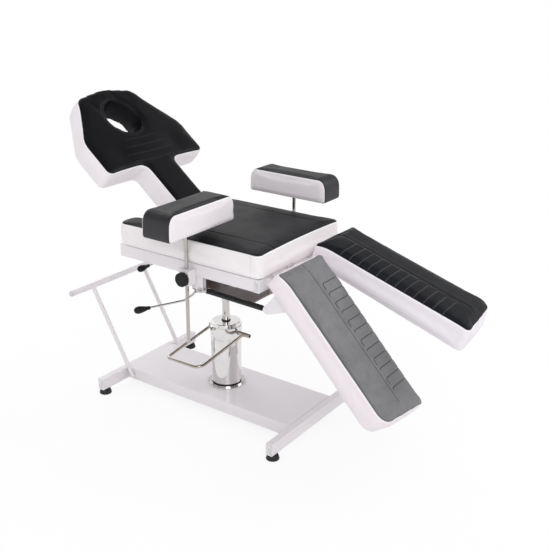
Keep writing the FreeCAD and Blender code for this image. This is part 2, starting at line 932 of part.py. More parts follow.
def tray():
    length = "tray_foot_reach - rail_width + tray_head_reach"
    start = "-tray_foot_reach + rail_width"
    edge = "-tray_half_width"
    near = tube_rail("y", edge, start, "tray_bottom", length)
    far = tube_rail("y", "tray_half_width - rail_width", start, "tray_bottom", length)
    finish("side_rails", group(near, far))
    finish("foot_rail", tube_rail("x", edge, "-tray_foot_reach", "tray_bottom", "2 * tray_half_width"))
    inner = "2 * (tray_half_width - rail_width)"
    rails = []
    for y in ("saddle_foot_y - rail_width", "saddle_head_y"):
        rails.append(tube_rail("x", f"{edge} + rail_width", y, "tray_bottom", inner))
    finish("tray_cross_rails", group(*rails))
    caps = []
    wide = "rail_width - 2 * rail_wall"
    high = "rail_height - 2 * rail_wall"
    level = "tray_bottom + rail_wall"
    for x in (edge, "tray_half_width - rail_width"):
        caps.append(box(f"{x} + rail_wall", "tray_head_reach - cap_thick", level, wide, "cap_thick", high))
    for x in (edge, "tray_half_width - cap_thick"):
        caps.append(box(x, "-tray_foot_reach + rail_wall", level, "cap_thick", wide, high))
    finish("rail_end_caps", group(*caps))


tray()

# Cushions: stuffed pads over thin boards, in the frame of their own hinge


def panelled(corners, crown, mid_x, lines):
    """A stuffed pad with stitch lines pressed into its top."""
    thick = size("pad_thick")
    pad = upholstered(corners, thick, crown, mid_x)
    bow = crown_radius(corners, crown)
    grooves = [groove(start, end, thick, mid_x, bow) for start, end in lines]
    inset = rounded_wire(drawn(corners, size("board_inset")))
    pocket = Part.Face(inset).extrude(Vector(0, 0, size("board_thick")))
    board = Part.Face(rounded_wire(drawn(corners, size("board_inset") + size("board_gap"))))
    board = board.extrude(Vector(0, 0, size("board_thick") - size("board_gap")))
    return pad.cut(grooves + [pocket]), board


def hang(piece, y, z, angle, lift):
    """Places a piece by its hinge: lifted off the hinge plane, then tilted about the hinge."""
    tilted = Placement(Vector(0, y, z), Rotation(Vector(1, 0, 0), angle))
    piece.Placement = tilted.multiply(Placement(Vector(0, 0, lift), Rotation()))
    return piece


def seat():
    half = size("seat_half_width")
    foot = -size("seat_foot_reach")
    head = size("seat_head_reach")
    corner = size("seat_corner")
    notch = size("notch_half_width")
    deep = size("notch_y")
    corners = [
        (-half, foot, corner),
        (half, foot, corner),
        (half, head, corner),
        (notch, head, size("notch_mouth_round")),
        (notch, deep, size("notch_round")),
        (-notch, deep, size("notch_round")),
        (-notch, head, size("notch_mouth_round")),
        (-half, head, corner),
    ]
    seam = half - size("seam_inset")
    end = foot + size("seam_end_gap")
    lines = [((-seam, end), (-seam, deep - corner)), ((seam, end), (seam, deep - corner))]
    pad, board = panelled(corners, size("crown"), 0, lines)
    level = size("tray_bottom") + size("rail_height") + size("pad_lift")
    for label, shape in (("seat_cushion", pad), ("seat_board", board)):
        shaped(label, shape).Placement = Placement(Vector(0, 0, level), Rotation())


seat()

hinge_y = "(-leg_hinge_reach)"
hinge_z = "(tray_bottom + rail_height + pad_lift - leg_hinge_below_pad)"


def leg_pad(side, sign):
    inner = sign * size("leg_inner_x")
    outer = sign * size("leg_outer_x")
    top = -size("leg_start")
    length = size("leg_length")
    slant = size("leg_end_slant") / 2
    small = size("leg_head_corner")
    corners = [
        (inner, top, small),
        (inner, -length - slant, size("leg_inner_corner")),
        (outer, -length + slant, size("leg_corner")),
        (outer, top, small),
    ]
    if sign < 0:
        corners.reverse()
    mid = (inner + outer) / 2
    seam = sign * size("leg_seam_x")
    near_seam = sign * (size("leg_seam_x") - size("leg_stitch_gap"))
    edge = sign * (size("leg_inner_x") + size("leg_stitch_end_gap"))
    lines = [((seam, top - small), (seam, -length + size("leg_corner")))]
    for n in range(stitch_count):
        y = -size("leg_stitch_first") - n * size("leg_stitch_pitch")
        lines.append(((near_seam, y), (edge, y)))
    pad, board = panelled(corners, size("crown"), mid, lines)
    for label, shape in ((f"{side}_leg_cushion", pad), (f"{side}_leg_board", board)):
        piece = shaped(label, shape)
        lift = size("leg_hinge_below_pad")
        hang(piece, measure(hinge_y), measure(hinge_z), size(f"{side}_leg_tilt"), lift)


leg_pad("near", -1)
leg_pad("far", 1)


def placed(label, piece, y, z, angle):
    """Ends a piece built about its hinge line: tilts it and carries it to the hinge."""
    finish(label, piece)
    tilt(piece, angle)
    move(piece, "0", y, z)


def side_plate(corners, x, gauge):
    """A flat plate across X from (y, z, radius) corners."""
    plate = doc.addObject("Part::Feature", "Plate")
    plate.Shape = Part.Face(rounded_wire(corners)).extrude(Vector(0, 0, gauge))
    plate.Placement = Placement(Vector(x, 0, 0), Rotation(Vector(1, 1, 1), 120))
    return plate


def fork(x, corners):
    """Two equal plates either side of a strut eye that is centred on x."""
    half = size("strut_eye_width") / 2 + size("fork_gap") / 2
    gauge = size("fork_gauge")
    return [side_plate(corners, x - half - gauge, gauge), side_plate(corners, x + half, gauge)]


fork_outer = "(strut_eye_width / 2 + fork_gap / 2 + fork_gauge)"


def fork_pin(x, y, z):
    """A headed pin through a fork, between named places."""
    pin = round_bar("x", f"{x} - {fork_outer}", y, z, "strut_pin_radius", f"2 * {fork_outer}")
    heads = []
    for start in (f"{x} - {fork_outer} - pin_head_thick", f"{x} + {fork_outer}"):
        heads.append(round_bar("x", start, y, z, "pin_head_radius", "pin_head_thick"))
    return fuse(pin, *heads)


def leg_frame(side, sign):
    mark = "" if sign > 0 else "-"
    parts = []
    for x in ("leg_bar_inner_x", "leg_bar_outer_x"):
        edge = f"{mark}{x} - leg_bar_width / 2"
        level = "leg_hinge_below_pad - leg_bar_gauge"
        parts.append(box(edge, "-leg_bar_length", level, "leg_bar_width", "leg_bar_length", "leg_bar_gauge"))
        knuckle = f"{mark}{x} - hinge_knuckle_length / 2"
        parts.append(round_bar("x", knuckle, "0", "0", "hinge_knuckle_radius", "hinge_knuckle_length"))
    reach = f"strut_x + {fork_outer} - leg_bar_inner_x"
    start = "leg_bar_inner_x" if sign > 0 else f"-strut_x - {fork_outer}"
    wide = "fork_root_head - fork_root_foot"
    level = "leg_hinge_below_pad - leg_bar_gauge"
    parts.append(box(start, "-fork_root_head", level, reach, wide, "leg_bar_gauge"))
    tip = size("fork_tip_radius")
    below = size("leg_hinge_below_pad") - size("leg_bar_gauge")
    along_leg = -size("leg_pin_along")
    drop = -size("leg_pin_below")
    soft = size("clamp_round")
    corners = [
        (-size("fork_root_head"), below, soft / 2),
        (along_leg - tip, drop - tip, tip - soft / 4),
        (along_leg + tip, drop - tip, tip - soft / 4),
        (-size("fork_root_foot"), below, soft / 2),
    ]
    parts += fork(sign * size("strut_x"), corners)
    parts.append(fork_pin(f"{mark}strut_x", "-leg_pin_along", "-leg_pin_below"))
    nearest = "leg_bar_inner_x" if sign > 0 else "-leg_bar_outer_x"
    span = "leg_bar_outer_x - leg_bar_inner_x + 2 * hinge_knuckle_length"
    fit = "hinge_pin_radius + hinge_fit"
    bore = round_bar("x", f"{nearest} - hinge_knuckle_length", "0", "0", fit, span)
    placed(f"{side}_leg_frame", cut(fuse(*parts), bore), hinge_y, hinge_z, f"{side}_leg_tilt")


leg_frame("near", -1)
leg_frame("far", 1)


def hinge_lugs():
    lugs = []
    pins = []
    tip = size("hinge_knuckle_radius")
    axis_y = -size("leg_hinge_reach")
    axis_z = measure(hinge_z)
    rail = -size("tray_foot_reach")
    small = size("board_corner") / 2
    corners = [
        (rail, axis_z - 4 * tip, small),
        (rail, axis_z + tip, small),
        (axis_y - tip, axis_z + tip, tip - small / 4),
        (axis_y - tip, axis_z - tip, tip - small / 4),
    ]
    thick = size("hinge_lug_thick")
    half = size("hinge_knuckle_length") / 2 + size("hinge_gap")
    for mark, sign in (("-", -1), ("", 1)):
        for name in ("leg_bar_inner_x", "leg_bar_outer_x"):
            centre = sign * size(name)
            lugs.append(side_plate(corners, centre - half - thick, thick))
            lugs.append(side_plate(corners, centre + half, thick))
            reach = "hinge_knuckle_length / 2 + hinge_gap + hinge_lug_thick"
            start = f"{mark}{name} - ({reach})"
            shank = round_bar("x", start, hinge_y, hinge_z, "hinge_pin_radius", f"2 * ({reach})")
            heads = []
            for x in (f"{start} - pin_head_thick", f"{mark}{name} + {reach}"):
                heads.append(round_bar("x", x, hinge_y, hinge_z, "hinge_head_radius", "pin_head_thick"))
            pins.append(fuse(shank, *heads))
    bore = round_bar("x", "-tray_half_width", hinge_y, hinge_z, "hinge_pin_radius", "2 * tray_half_width")
    finish("hinge_lugs", cut(group(*lugs), bore))
    inside = "back_tube_radius - back_tube_wall - hinge_fit"
    for x in ("-tray_half_width + rail_width", "tray_half_width - rail_width - back_stub_length"):
        pins.append(round_bar("x", x, "back_hinge_y", "back_hinge_z", inside, "back_stub_length"))
    finish("hinge_pins", group(*pins))


hinge_lugs()

# Gas struts: rod and tube, each built upward from its own eye


def eye(slack):
    """The outer radius and the bore radius of a strut's eye."""
    bore = f"strut_pin_radius + {slack}"
    rim = "strut_eye_radius" if slack == "strut_pin_fit" else f"{bore} + slack_eye_rim"
    return rim, bore


def strut_rod(label, slack, extras=()):
    rim, bore = eye(slack)
    half = "-strut_eye_width / 2"
    ring = round_bar("x", half, "0", "0", rim, "strut_eye_width")
    neck = round_bar("z", "0", "0", "0", "strut_neck_radius", "strut_end_length")
    head = round_bar("z", "0", "0", "strut_end_length + strut_head_gap", "release_radius", "release_thick")
    shaft_length = "strut_rod_length - strut_end_length"
    shaft = round_bar("z", "0", "0", "strut_end_length", "strut_rod_radius", shaft_length)
    inside = "strut_tube_radius - strut_tube_wall - strut_pin_fit"
    piston = round_bar("z", "0", "0", "strut_rod_length - strut_piston", inside, "strut_piston")
    hole = round_bar("x", f"{half} - overrun", "0", "0", bore, "strut_eye_width + 2 * overrun")
    return finish(label, cut(fuse(ring, neck, head, shaft, piston, *extras), hole))


def strut_tube(label, length, slack):
    rim, bore = eye(slack)
    half = "-strut_eye_width / 2"
    ring = round_bar("x", half, "0", "0", rim, "strut_eye_width")
    neck = round_bar("z", "0", "0", "0", "strut_neck_radius", "strut_end_length")
    collar_length = "strut_end_length - strut_collar_start"
    collar = round_bar("z", "0", "0", "strut_collar_start", "strut_fitting_radius", collar_length)
    shell = round_bar("z", "0", "0", "strut_end_length", "strut_tube_radius", length)
    inside = "strut_tube_radius - strut_tube_wall"
    deep = f"{length} - strut_floor - strut_guide"
    room = round_bar("z", "0", "0", "strut_end_length + strut_floor", inside, deep)
    guide = "strut_rod_radius + strut_pin_fit"
    start = f"strut_end_length + {length} - strut_guide - overrun"
    mouth = round_bar("z", "0", "0", start, guide, "strut_guide + 2 * overrun")
    hole = round_bar("x", f"{half} - overrun", "0", "0", bore, "strut_eye_width + 2 * overrun")
    return finish(label, cut(fuse(ring, neck, collar, shell), room, mouth, hole))


def aim(piece, x, start, goal):
    """Stands a strut part with its eye at start and its axis toward goal, both (y, z)."""
    run = goal[0] - start[0]
    rise = goal[1] - start[1]
    angle = math.degrees(math.atan2(-run, rise))
    piece.Placement = Placement(Vector(x, start[0], start[1]), Rotation(Vector(1, 0, 0), angle))


def swung(y, z, local_y, local_z, angle):
    """Where a hinged (y, z) spot stands at a tilt."""
    turn = math.radians(angle)
    return (
        y + local_y * math.cos(turn) - local_z * math.sin(turn),
        z + local_y * math.sin(turn) + local_z * math.cos(turn),
    )


fixed_eye = (size("strut_eye_y"), size("strut_eye_z"))


def leg_strut(side, sign, slack):
    y = measure(hinge_y)
    z = measure(hinge_z)
    pin = swung(y, z, -size("leg_pin_along"), -size("leg_pin_below"), size(f"{side}_leg_tilt"))
    aim(strut_rod(f"{side}_strut_rod", "strut_pin_fit"), sign * size("strut_x"), fixed_eye, pin)
    aim(strut_tube(f"{side}_strut_tube", "strut_tube_length", slack), sign * size("strut_x"), pin, fixed_eye)


leg_strut("near", -1, "open_pivot_slack")
leg_strut("far", 1, "far_open_pivot_slack")


def strut_brackets():
    top = size("tray_bottom")
    eye_y = size("strut_eye_y")
    eye_z = size("strut_eye_z")
    tip = size("fork_tip_radius")
    soft = size("clamp_round")
    sill = eye_z - size("lever_tab_drop")
    heel = eye_y + size("lever_offset") + tip
    corners = [
        (eye_y - tip, top, soft / 4),
        (eye_y - tip, eye_z - tip, tip - soft),
        (eye_y + tip - soft / 2, eye_z - tip, soft),
        (heel - 2 * tip + soft / 2, sill, soft / 4),
        (heel, sill, soft / 4),
        (heel, top, soft / 4),
    ]
    plates = []
    pins = []
    for mark, sign in (("-", -1), ("", 1)):
        plates += fork(sign * size("strut_x"), corners)
        start = f"{mark}strut_x - {fork_outer}"
        level = "strut_eye_z - lever_tab_drop"
        edge = "strut_eye_y + lever_offset - fork_tip_radius / 2"
        plates.append(box(start, edge, level, f"2 * {fork_outer}", "fork_tip_radius", "fork_gauge"))
        pins.append(fork_pin(f"{mark}strut_x", "strut_eye_y", "strut_eye_z"))
        y = "strut_eye_y + lever_offset"
        foot = f"{level} - lever_hub_height - 2 * fork_gap"
        pivot = round_bar("z", f"{mark}strut_x", y, foot, "lever_pin_radius", f"{level} - ({foot})")
        low = f"{foot} - lever_head_thick"
        head = round_bar("z", f"{mark}strut_x", y, low, "lever_head_radius", "lever_head_thick")
        pins.append(fuse(pivot, head))
    back_y = size("back_eye_y")
    back_z = size("back_eye_z")
    rail = size("saddle_foot_y") - size("saddle_gauge") / 2
    corners = [
        (rail, top, soft / 4),
        (rail - size("rail_width") + soft, top, soft / 4),
        (rail - size("rail_width") + soft, back_z + tip, soft),
        (back_y - tip, back_z - tip, tip),
        (back_y + tip, back_z - tip, tip - soft / 4),
        (back_y + tip, back_z + tip, tip - soft / 4),
    ]
    plates += fork(-size("back_strut_x"), corners)
    pins.append(fork_pin("-back_strut_x", "back_eye_y", "back_eye_z"))
    holes = []
    for x, y, z in (
        ("-tray_half_width", "strut_eye_y", "strut_eye_z"),
        ("-tray_half_width", "back_eye_y", "back_eye_z"),
    ):
        holes.append(round_bar("x", x, y, z, "strut_pin_radius", "2 * tray_half_width"))
    finish("strut_brackets", cut(group(*plates), *holes))
    finish("bracket_pins", group(*pins))


strut_brackets()

# Backrest: neck and head in one pad with a face opening, on a tube hinge


def back_pad():
    crest = size("crest_half_width")
    temple = size("temple_half_width")
    shoulder = size("shoulder_half_width")
    neck = size("neck_half_width")
    right = [
        (neck, size("neck_start"), size("neck_corner")),
        (neck, size("shoulder_y"), size("armpit_round")),
        (shoulder, size("shoulder_y"), size("shoulder_round")),
        (temple, size("temple_y"), size("temple_round")),
        (crest, size("crest_y"), size("crest_round")),
    ]
    top = [(0, size("crest_y") + size("crest_bulge"), size("crest_sweep"))]
    left = [(-x, y, radius) for x, y, radius in reversed(right)]
    corners = right + top + left
    lines = []
    for n in range(4):
        y = size("back_stitch_first") + n * size("back_stitch_pitch")
        x = size("back_stitch_half") - n * size("back_stitch_step")
        lines.append(((-x, y), (x, y)))
    pad, board = panelled(corners, size("crown"), 0, lines)
    spot = Vector(0, size("face_y"), -size("overrun"))
    tall = size("pad_thick") + 2 * size("overrun")
    lining = size("face_lining")
    ring = Part.makeCylinder(size("face_radius") + lining, size("board_thick") + size("overrun"), spot)
    ring = ring.cut(Part.makeCylinder(size("face_radius"), tall, spot))
    inlay = Part.makeCylinder(size("face_radius") + lining, size("board_thick"), Vector(0, size("face_y"), 0))
    pad = pad.fuse(inlay).cut(Part.makeCylinder(size("face_radius"), tall, spot))
    board = board.cut(Part.makeCylinder(size("face_radius") + lining + size("board_gap"), tall, spot))
    for label, shape in (("back_cushion", pad), ("back_board", board)):
        lift = size("back_pad_lift")
        hang(shaped(label, shape), size("back_hinge_y"), size("back_hinge_z"), size("back_tilt"), lift)


back_pad()


def back_frame():
    gauge = "back_bar_gauge"
    level = f"back_pad_lift - {gauge}"
    parts = []
    for mark in ("-", ""):
        edge = f"{mark}back_bar_x - back_bar_width / 2"
        parts.append(box(edge, "-back_bar_heel", level, "back_bar_width", "back_bar_length", gauge))
    for y in ("shoulder_y + back_cross_inset", "back_bar_length - back_bar_heel - back_bar_width"):
        parts.append(box("-back_cross_half", y, level, "2 * back_cross_half", "back_bar_width", gauge))
    half = "tray_half_width - rail_width - hinge_gap"
    parts.append(round_bar("x", f"-({half})", "0", "0", "back_tube_radius", f"2 * ({half})"))
    tip = size("fork_tip_radius")
    soft = size("clamp_round")
    pin_y = size("back_pin_along")
    pin_z = -size("back_pin_below")
    corners = [
        (-tip / 3, 0, soft / 4),
        (pin_y - tip, pin_z + tip, tip / 2),
        (pin_y - tip, pin_z - tip, tip - soft / 4),
        (pin_y + tip, pin_z - tip, tip - soft / 4),
        (pin_y + tip, pin_z + tip, tip / 2),
        (tip / 2, 0, soft / 4),
    ]
    parts += fork(-size("back_strut_x"), corners)
    parts.append(fork_pin("-back_strut_x", "back_pin_along", "-back_pin_below"))
    inside = "back_tube_radius - back_tube_wall"
    bore = round_bar("x", f"-({half}) - overrun", "0", "0", inside, f"2 * ({half}) + 2 * overrun")
    placed("back_frame", cut(fuse(*parts), bore), "back_hinge_y", "back_hinge_z", "back_tilt")


back_frame()


def release_block():
    """A tongue beyond a rod's eye that carries a lever's pivot."""
    reach = "lever_offset + lever_hub_radius"
    tongue = box("-strut_eye_width / 2", "0", f"-({reach})", "strut_eye_width", "fork_gauge", reach)
    far_end = "-lever_hub_height - fork_gap"
    pin = round_bar("y", "0", far_end, "-lever_offset", "lever_pin_radius", "lever_hub_height")
    return [tongue, pin]


def back_strut():
    y = size("back_hinge_y")
    z = size("back_hinge_z")
    pin = swung(y, z, size("back_pin_along"), -size("back_pin_below"), size("back_tilt"))
    fixed = (size("back_eye_y"), size("back_eye_z"))
    x = -size("back_strut_x")
    aim(strut_tube("back_strut_tube", "back_tube_length", "strut_pin_fit"), x, fixed, pin)
    aim(strut_rod("back_strut_rod", "open_pivot_slack", release_block()), x, pin, fixed)
    return x, pin, fixed


back_strut_line = back_strut()

# Release levers: a bent rod on an upright pivot, with a moulded grip


def grip(start, run):
    """A moulded grip on a lever's end, from a start point along a direction."""
    body = Part.makeCylinder(size("grip_radius"), size("grip_length"))
    body = body.makeFillet(size("grip_round"), [edge for edge in body.Edges if edge.Closed])
    neck = Part.makeCylinder(size("grip_neck_radius"), size("grip_round"))
    shape = body.fuse(neck).removeSplitter()
    shape.Placement = Placement(start, Rotation(Vector(0, 0, 1), run))
    return Part.Compound([shape])


def leg_lever(side, sign):
    x = sign * size("strut_x")
    y = size("strut_eye_y") + size("lever_offset")
    top = size("strut_eye_z") - size("lever_tab_drop") - size("fork_gap")
    height = size("lever_hub_height")
    z = top - height / 2
    hub = Part.makeCylinder(size("lever_hub_radius"), height, Vector(x, y, top - height))
    elbow_y = y + size("leg_lever_back_step")
    end = Vector(x + sign * size("leg_lever_reach"), y + size("leg_lever_turn"), z)
    tail = end + Vector(sign * size("leg_lever_tail_step"), size("leg_lever_tail_rise"), 0)
    bend = size("lever_bend")
    rod = bent_bar(
        [
            (x, y, z, 0),
            (x + sign * size("leg_lever_side_step"), elbow_y, z, bend),
            (x + sign * size("leg_lever_elbow_reach"), elbow_y - size("leg_lever_elbow_step"), z, bend),
            (tail.x, tail.y, tail.z, 0),
        ],
        size("lever_radius"),
    )
    bore = Part.makeCylinder(size("lever_pin_radius") + size("hinge_fit"), height, Vector(x, y, top - height))
    shaped(f"{side}_leg_lever", hub.fuse(rod).cut(bore).removeSplitter())
    way = tail - Vector(x + sign * size("leg_lever_elbow_reach"), elbow_y - size("leg_lever_elbow_step"), z)
    shaped(f"{side}_lever_grip", grip(tail, way))


leg_lever("near", -1)
leg_lever("far", 1)


def back_lever():
    height = size("lever_hub_height")
    top = -size("fork_gap")
    z = -size("lever_offset")
    up = Vector(0, 1, 0)
    hub = Part.makeCylinder(size("lever_hub_radius"), height, Vector(0, top - height, z), up)
    middle = Vector(0, top - height / 2, z)
    out = Vector(-1, 0, 0)
    rod = Part.makeCylinder(size("lever_radius"), size("back_lever_reach"), middle, out)
    bore = Part.makeCylinder(
        size("lever_pin_radius") + size("hinge_fit"), height, Vector(0, top - height, z), up
    )
    x, pin, fixed = back_strut_line
    aim(shaped("back_lever", hub.fuse(rod).cut(bore).removeSplitter()), x, pin, fixed)
    end = middle + out * size("back_lever_reach")
    aim(shaped("back_lever_grip", grip(end, out)), x, pin, fixed)


back_lever()

# Armrests: a clamp block on each side rail, a post, a plate and a stuffed pad

post_x = "(tray_half_width + post_setoff)"


def arm_pad():
    half = size("arm_length") / 2
    high = size("arm_thick")
    corners = [
        (-half, 0, size("arm_foot_round")),
        (half, 0, size("arm_foot_round")),
        (half, high, size("arm_round")),
        (-half, high, size("arm_round")),
    ]
    slab = Part.Face(rounded_wire(corners)).extrude(Vector(0, 0, size("arm_width")))
    rims = [edge for edge in slab.Edges if edge.BoundBox.ZLength < size("board_gap")]
    slab = slab.makeFillet(size("edge_round"), rims)
    slab.Placement = Placement(Vector(-size("arm_width") / 2, 0, 0), Rotation(Vector(1, 1, 1), 120))
    return slab


def armrest(side, sign):
    mark = "" if sign > 0 else "-"
    height = f"({side}_arm_height - arm_thick)"
    y = f"{side}_post_y"
    post_top = f"{height} - arm_plate_gauge - fork_gap"
    post = round_bar("z", f"{mark}{post_x}", y, f"{post_top} - post_length", "post_radius", "post_length")
    finish(f"{side}_arm_post", post)
    level = measure(height)
    turn = Rotation(Vector(0, 0, 1), size(f"{side}_arm_turn"))
    spot = Vector(sign * measure(post_x), size(y), 0)
    plate = Part.makeBox(size("arm_plate_width"), size("arm_plate_length"), size("arm_plate_gauge"))
    corner = Vector(size("arm_plate_width") / 2, size("arm_plate_length") / 2, size("arm_plate_gauge"))
    shift = Vector(-size(f"{side}_arm_shift"), 0, 0)
    plate.translate(shift - corner)
    foot = Vector(0, 0, -size("arm_plate_gauge") - size("arm_hub_height"))
    hub = Part.makeCylinder(size("arm_hub_radius"), size("arm_hub_height"), foot)
    bore = Part.makeCylinder(size("post_radius") + size("post_fit"), size("arm_hub_height"), foot)
    mount = shaped(f"{side}_arm_plate", plate.fuse(hub).cut(bore))
    mount.Placement = Placement(spot + Vector(0, 0, level), turn)
    pad = shaped(f"{side}_arm_cushion", arm_pad())
    seat_place = Placement(spot + turn.multVec(shift) + Vector(0, 0, level), turn)
    pad.Placement = seat_place.multiply(pad.Shape.Placement)


armrest("near", -1)
armrest("far", 1)


def clamps():
    blocks = []
    for side, mark in (("near", "-"), ("far", "")):
        inner = "tray_half_width" if mark == "" else "-tray_half_width - clamp_depth"
        y = f"{side}_post_y - clamp_width / 2"
        block = box(inner, y, "clamp_bottom", "clamp_depth", "clamp_width", "clamp_height")
        block = soften(block, "clamp_round", along("z"))
        fit = "post_radius + post_fit"
        down = "clamp_height + 2 * overrun"
        hole = round_bar("z", f"{mark}{post_x}", f"{side}_post_y", "clamp_bottom - overrun", fit, down)
        stem = "knob_stem_radius + hinge_fit"
        start = post_x if mark == "" else f"-{post_x} - clamp_depth"
        thread = round_bar("x", start, f"{side}_post_y", "knob_z", stem, "clamp_depth")
        blocks.append(cut(block, hole, thread))
    finish("arm_clamps", group(*blocks))


clamps()


def knob(side, sign):
    disc = Part.makeCylinder(size("knob_radius"), size("knob_thick"), Vector(0, 0, size("knob_gap")))
    top = size("knob_gap") + size("knob_thick")
    rim = [edge for edge in disc.Edges if edge.Closed and edge.BoundBox.ZMin > size("knob_gap")]
    disc = disc.makeFillet(size("knob_face_round"), rim)
    notches = []
    for n in range(knob_notches):
        turn = 2 * math.pi * n / knob_notches
        reach = size("knob_radius") + size("knob_notch_radius") / 2
        spot = Vector(math.cos(turn), math.sin(turn), 0) * reach
        notches.append(Part.makeCylinder(size("knob_notch_radius"), top, spot))
    post_face = measure(post_x) + size("post_radius") + size("post_fit")
    depth = size("tray_half_width") + size("clamp_depth") - post_face
    stem = Part.makeCylinder(size("knob_stem_radius"), depth + size("knob_gap"), Vector(0, 0, -depth))
    piece = shaped(f"{side}_clamp_knob", disc.cut(notches).fuse(stem).removeSplitter())
    x = sign * (size("tray_half_width") + size("clamp_depth"))
    facing = Rotation(Vector(0, 0, 1), Vector(sign, 0, 0))
    piece.Placement = Placement(Vector(x, size(f"{side}_post_y"), size("knob_z")), facing)


knob("near", -1)
knob("far", 1)


def saddle_bolts():
    bolts = []
    for y in ("saddle_foot_y - saddle_top_reach / 2", "saddle_head_y + saddle_top_reach / 2"):
        for x in ("-saddle_half_width + saddle_bolt_inset", "saddle_half_width - saddle_bolt_inset"):
            bolt = doc.addObject("Part::Prism", "Bolt")
            bolt.Polygon = 6
            bind(bolt, Circumradius="saddle_bolt_radius", Height="saddle_bolt_height")
            bolts.append(move(bolt, x, y, "tray_bottom - saddle_gauge - saddle_bolt_height"))
    middle = doc.addObject("Part::Prism", "Bolt")
    middle.Polygon = 6
    bind(middle, Circumradius="saddle_bolt_radius", Height="saddle_bolt_height")
    bolts.append(move(middle, "0", "0", f"{socket_top} + saddle_gauge"))
    finish("saddle_bolts", group(*bolts))


saddle_bolts()

doc.recompute()
faults = [item.Label for item in doc.Objects if {"Invalid", "Error"} & set(item.State)]
faults += [item.Label for item in subparts if item.Shape.isNull() or not item.Shape.isValid()]
if faults:
    raise RuntimeError("Pieces that did not build: " + ", ".join(faults))
os.makedirs("parts", exist_ok=True)
for item in subparts:
    item.Shape.exportStep(f"parts/{item.Label}.step")
print(len(subparts), "pieces")
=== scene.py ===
import json
import math
import bpy
import bmesh
import numpy as np
from mathutils import Matrix, Vector


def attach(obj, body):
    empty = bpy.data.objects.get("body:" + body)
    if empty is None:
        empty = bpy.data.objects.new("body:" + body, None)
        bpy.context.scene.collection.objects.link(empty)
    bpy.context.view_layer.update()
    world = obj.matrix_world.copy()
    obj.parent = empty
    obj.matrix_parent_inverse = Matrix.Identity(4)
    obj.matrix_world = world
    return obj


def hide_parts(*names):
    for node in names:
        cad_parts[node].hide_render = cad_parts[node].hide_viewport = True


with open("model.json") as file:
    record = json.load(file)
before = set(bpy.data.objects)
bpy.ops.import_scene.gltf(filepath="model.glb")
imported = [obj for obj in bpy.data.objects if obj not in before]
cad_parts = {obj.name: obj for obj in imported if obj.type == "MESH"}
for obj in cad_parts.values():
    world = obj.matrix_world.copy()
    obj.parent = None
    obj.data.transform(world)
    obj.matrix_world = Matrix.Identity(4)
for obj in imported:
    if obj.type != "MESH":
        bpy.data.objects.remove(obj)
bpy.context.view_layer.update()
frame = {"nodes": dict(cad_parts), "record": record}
nodes = frame["nodes"]
print("stage: frame loaded,", len(nodes), "pieces")

# The view of the photograph: a 57.7 mm lens from the foot end, on the pedal's side
cameraView = {
    "place": (-2.5901, -2.0577, 1.8112),
    "turn": (69.1186, -0.5050, -54.7804),
    "lens": 57.71,
}


def addCamera(view):
    bpy.ops.object.camera_add(location=view["place"], rotation=[math.radians(a) for a in view["turn"]])
    camera = bpy.context.object
    camera.name = "photoCamera"
    camera.data.lens = view["lens"]
    camera.data.sensor_width = 36
    camera.data.clip_end = 60
    bpy.context.scene.camera = camera


addCamera(cameraView)
print("stage: camera")


# Node trees

class Wires:  # a short hand for building a node tree
    def __init__(self, tree):
        self.tree = tree
        self.column = 0

    def add(self, kind, **values):
        node = self.tree.nodes.new(kind)
        self.column += 1
        node.location = (self.column * 170 - 1600, (self.column % 5) * -140)
        inputs = values.pop("inputs", {})
        for name, value in values.items():
            setattr(node, name, value)
        for name, value in inputs.items():
            self.feed(node.inputs[name], value)
        return node

    def feed(self, socket, value):
        if isinstance(value, bpy.types.NodeSocket):
            self.tree.links.new(value, socket)
        else:
            socket.default_value = value

    def math(self, operation, *values, clamp=False):
        node = self.add("ShaderNodeMath", operation=operation, use_clamp=clamp)
        for place, value in enumerate(values):
            self.feed(node.inputs[place], value)
        return node.outputs[0]

    def noise(self, vector, scale, detail=3.0, roughness=0.55, distortion=0.0):
        node = self.add("ShaderNodeTexNoise")
        for name, value in (("Vector", vector), ("Scale", scale), ("Detail", detail),
                            ("Roughness", roughness), ("Distortion", distortion)):
            self.feed(node.inputs[name], value)
        return node.outputs["Fac"]

    def ramp(self, value, low, high, outLow=0.0, outHigh=1.0):
        node = self.add("ShaderNodeMapRange", interpolation_type="SMOOTHSTEP")
        for name, given in (("Value", value), ("From Min", low), ("From Max", high),
                            ("To Min", outLow), ("To Max", outHigh)):
            self.feed(node.inputs[name], given)
        return node.outputs[0]

    def mixColor(self, factor, first, second, blend="MIX"):
        node = self.add("ShaderNodeMix", data_type="RGBA", blend_type=blend)
        self.feed(node.inputs[0], factor)
        self.feed(node.inputs[6], first)
        self.feed(node.inputs[7], second)
        return node.outputs[2]

    def split(self, vector):
        return self.add("ShaderNodeSeparateXYZ", inputs={0: vector}).outputs

    def span(self, first, second):  # the length of a step with these two sides
        squares = (self.math("MULTIPLY", first, first), self.math("MULTIPLY", second, second))
        return self.math("SQRT", self.math("ADD", *squares))

    def group(self, tree, **values):
        node = self.add("ShaderNodeGroup")
        node.node_tree = tree
        for name, value in values.items():
            self.feed(node.inputs[name], value)
        return node.outputs


def startGroup(name, inputs, outputs):
    tree = bpy.data.node_groups.new(name, "ShaderNodeTree")
    for label, kind, value in inputs:
        socket = tree.interface.new_socket(label, in_out="INPUT", socket_type=kind)
        if value is not None:
            socket.default_value = value
    for label, kind in outputs:
        tree.interface.new_socket(label, in_out="OUTPUT", socket_type=kind)
    wires = Wires(tree)
    return wires, wires.add("NodeGroupInput").outputs, wires.add("NodeGroupOutput")


def rgb(red, green, blue):
    return (red, green, blue, 1.0)


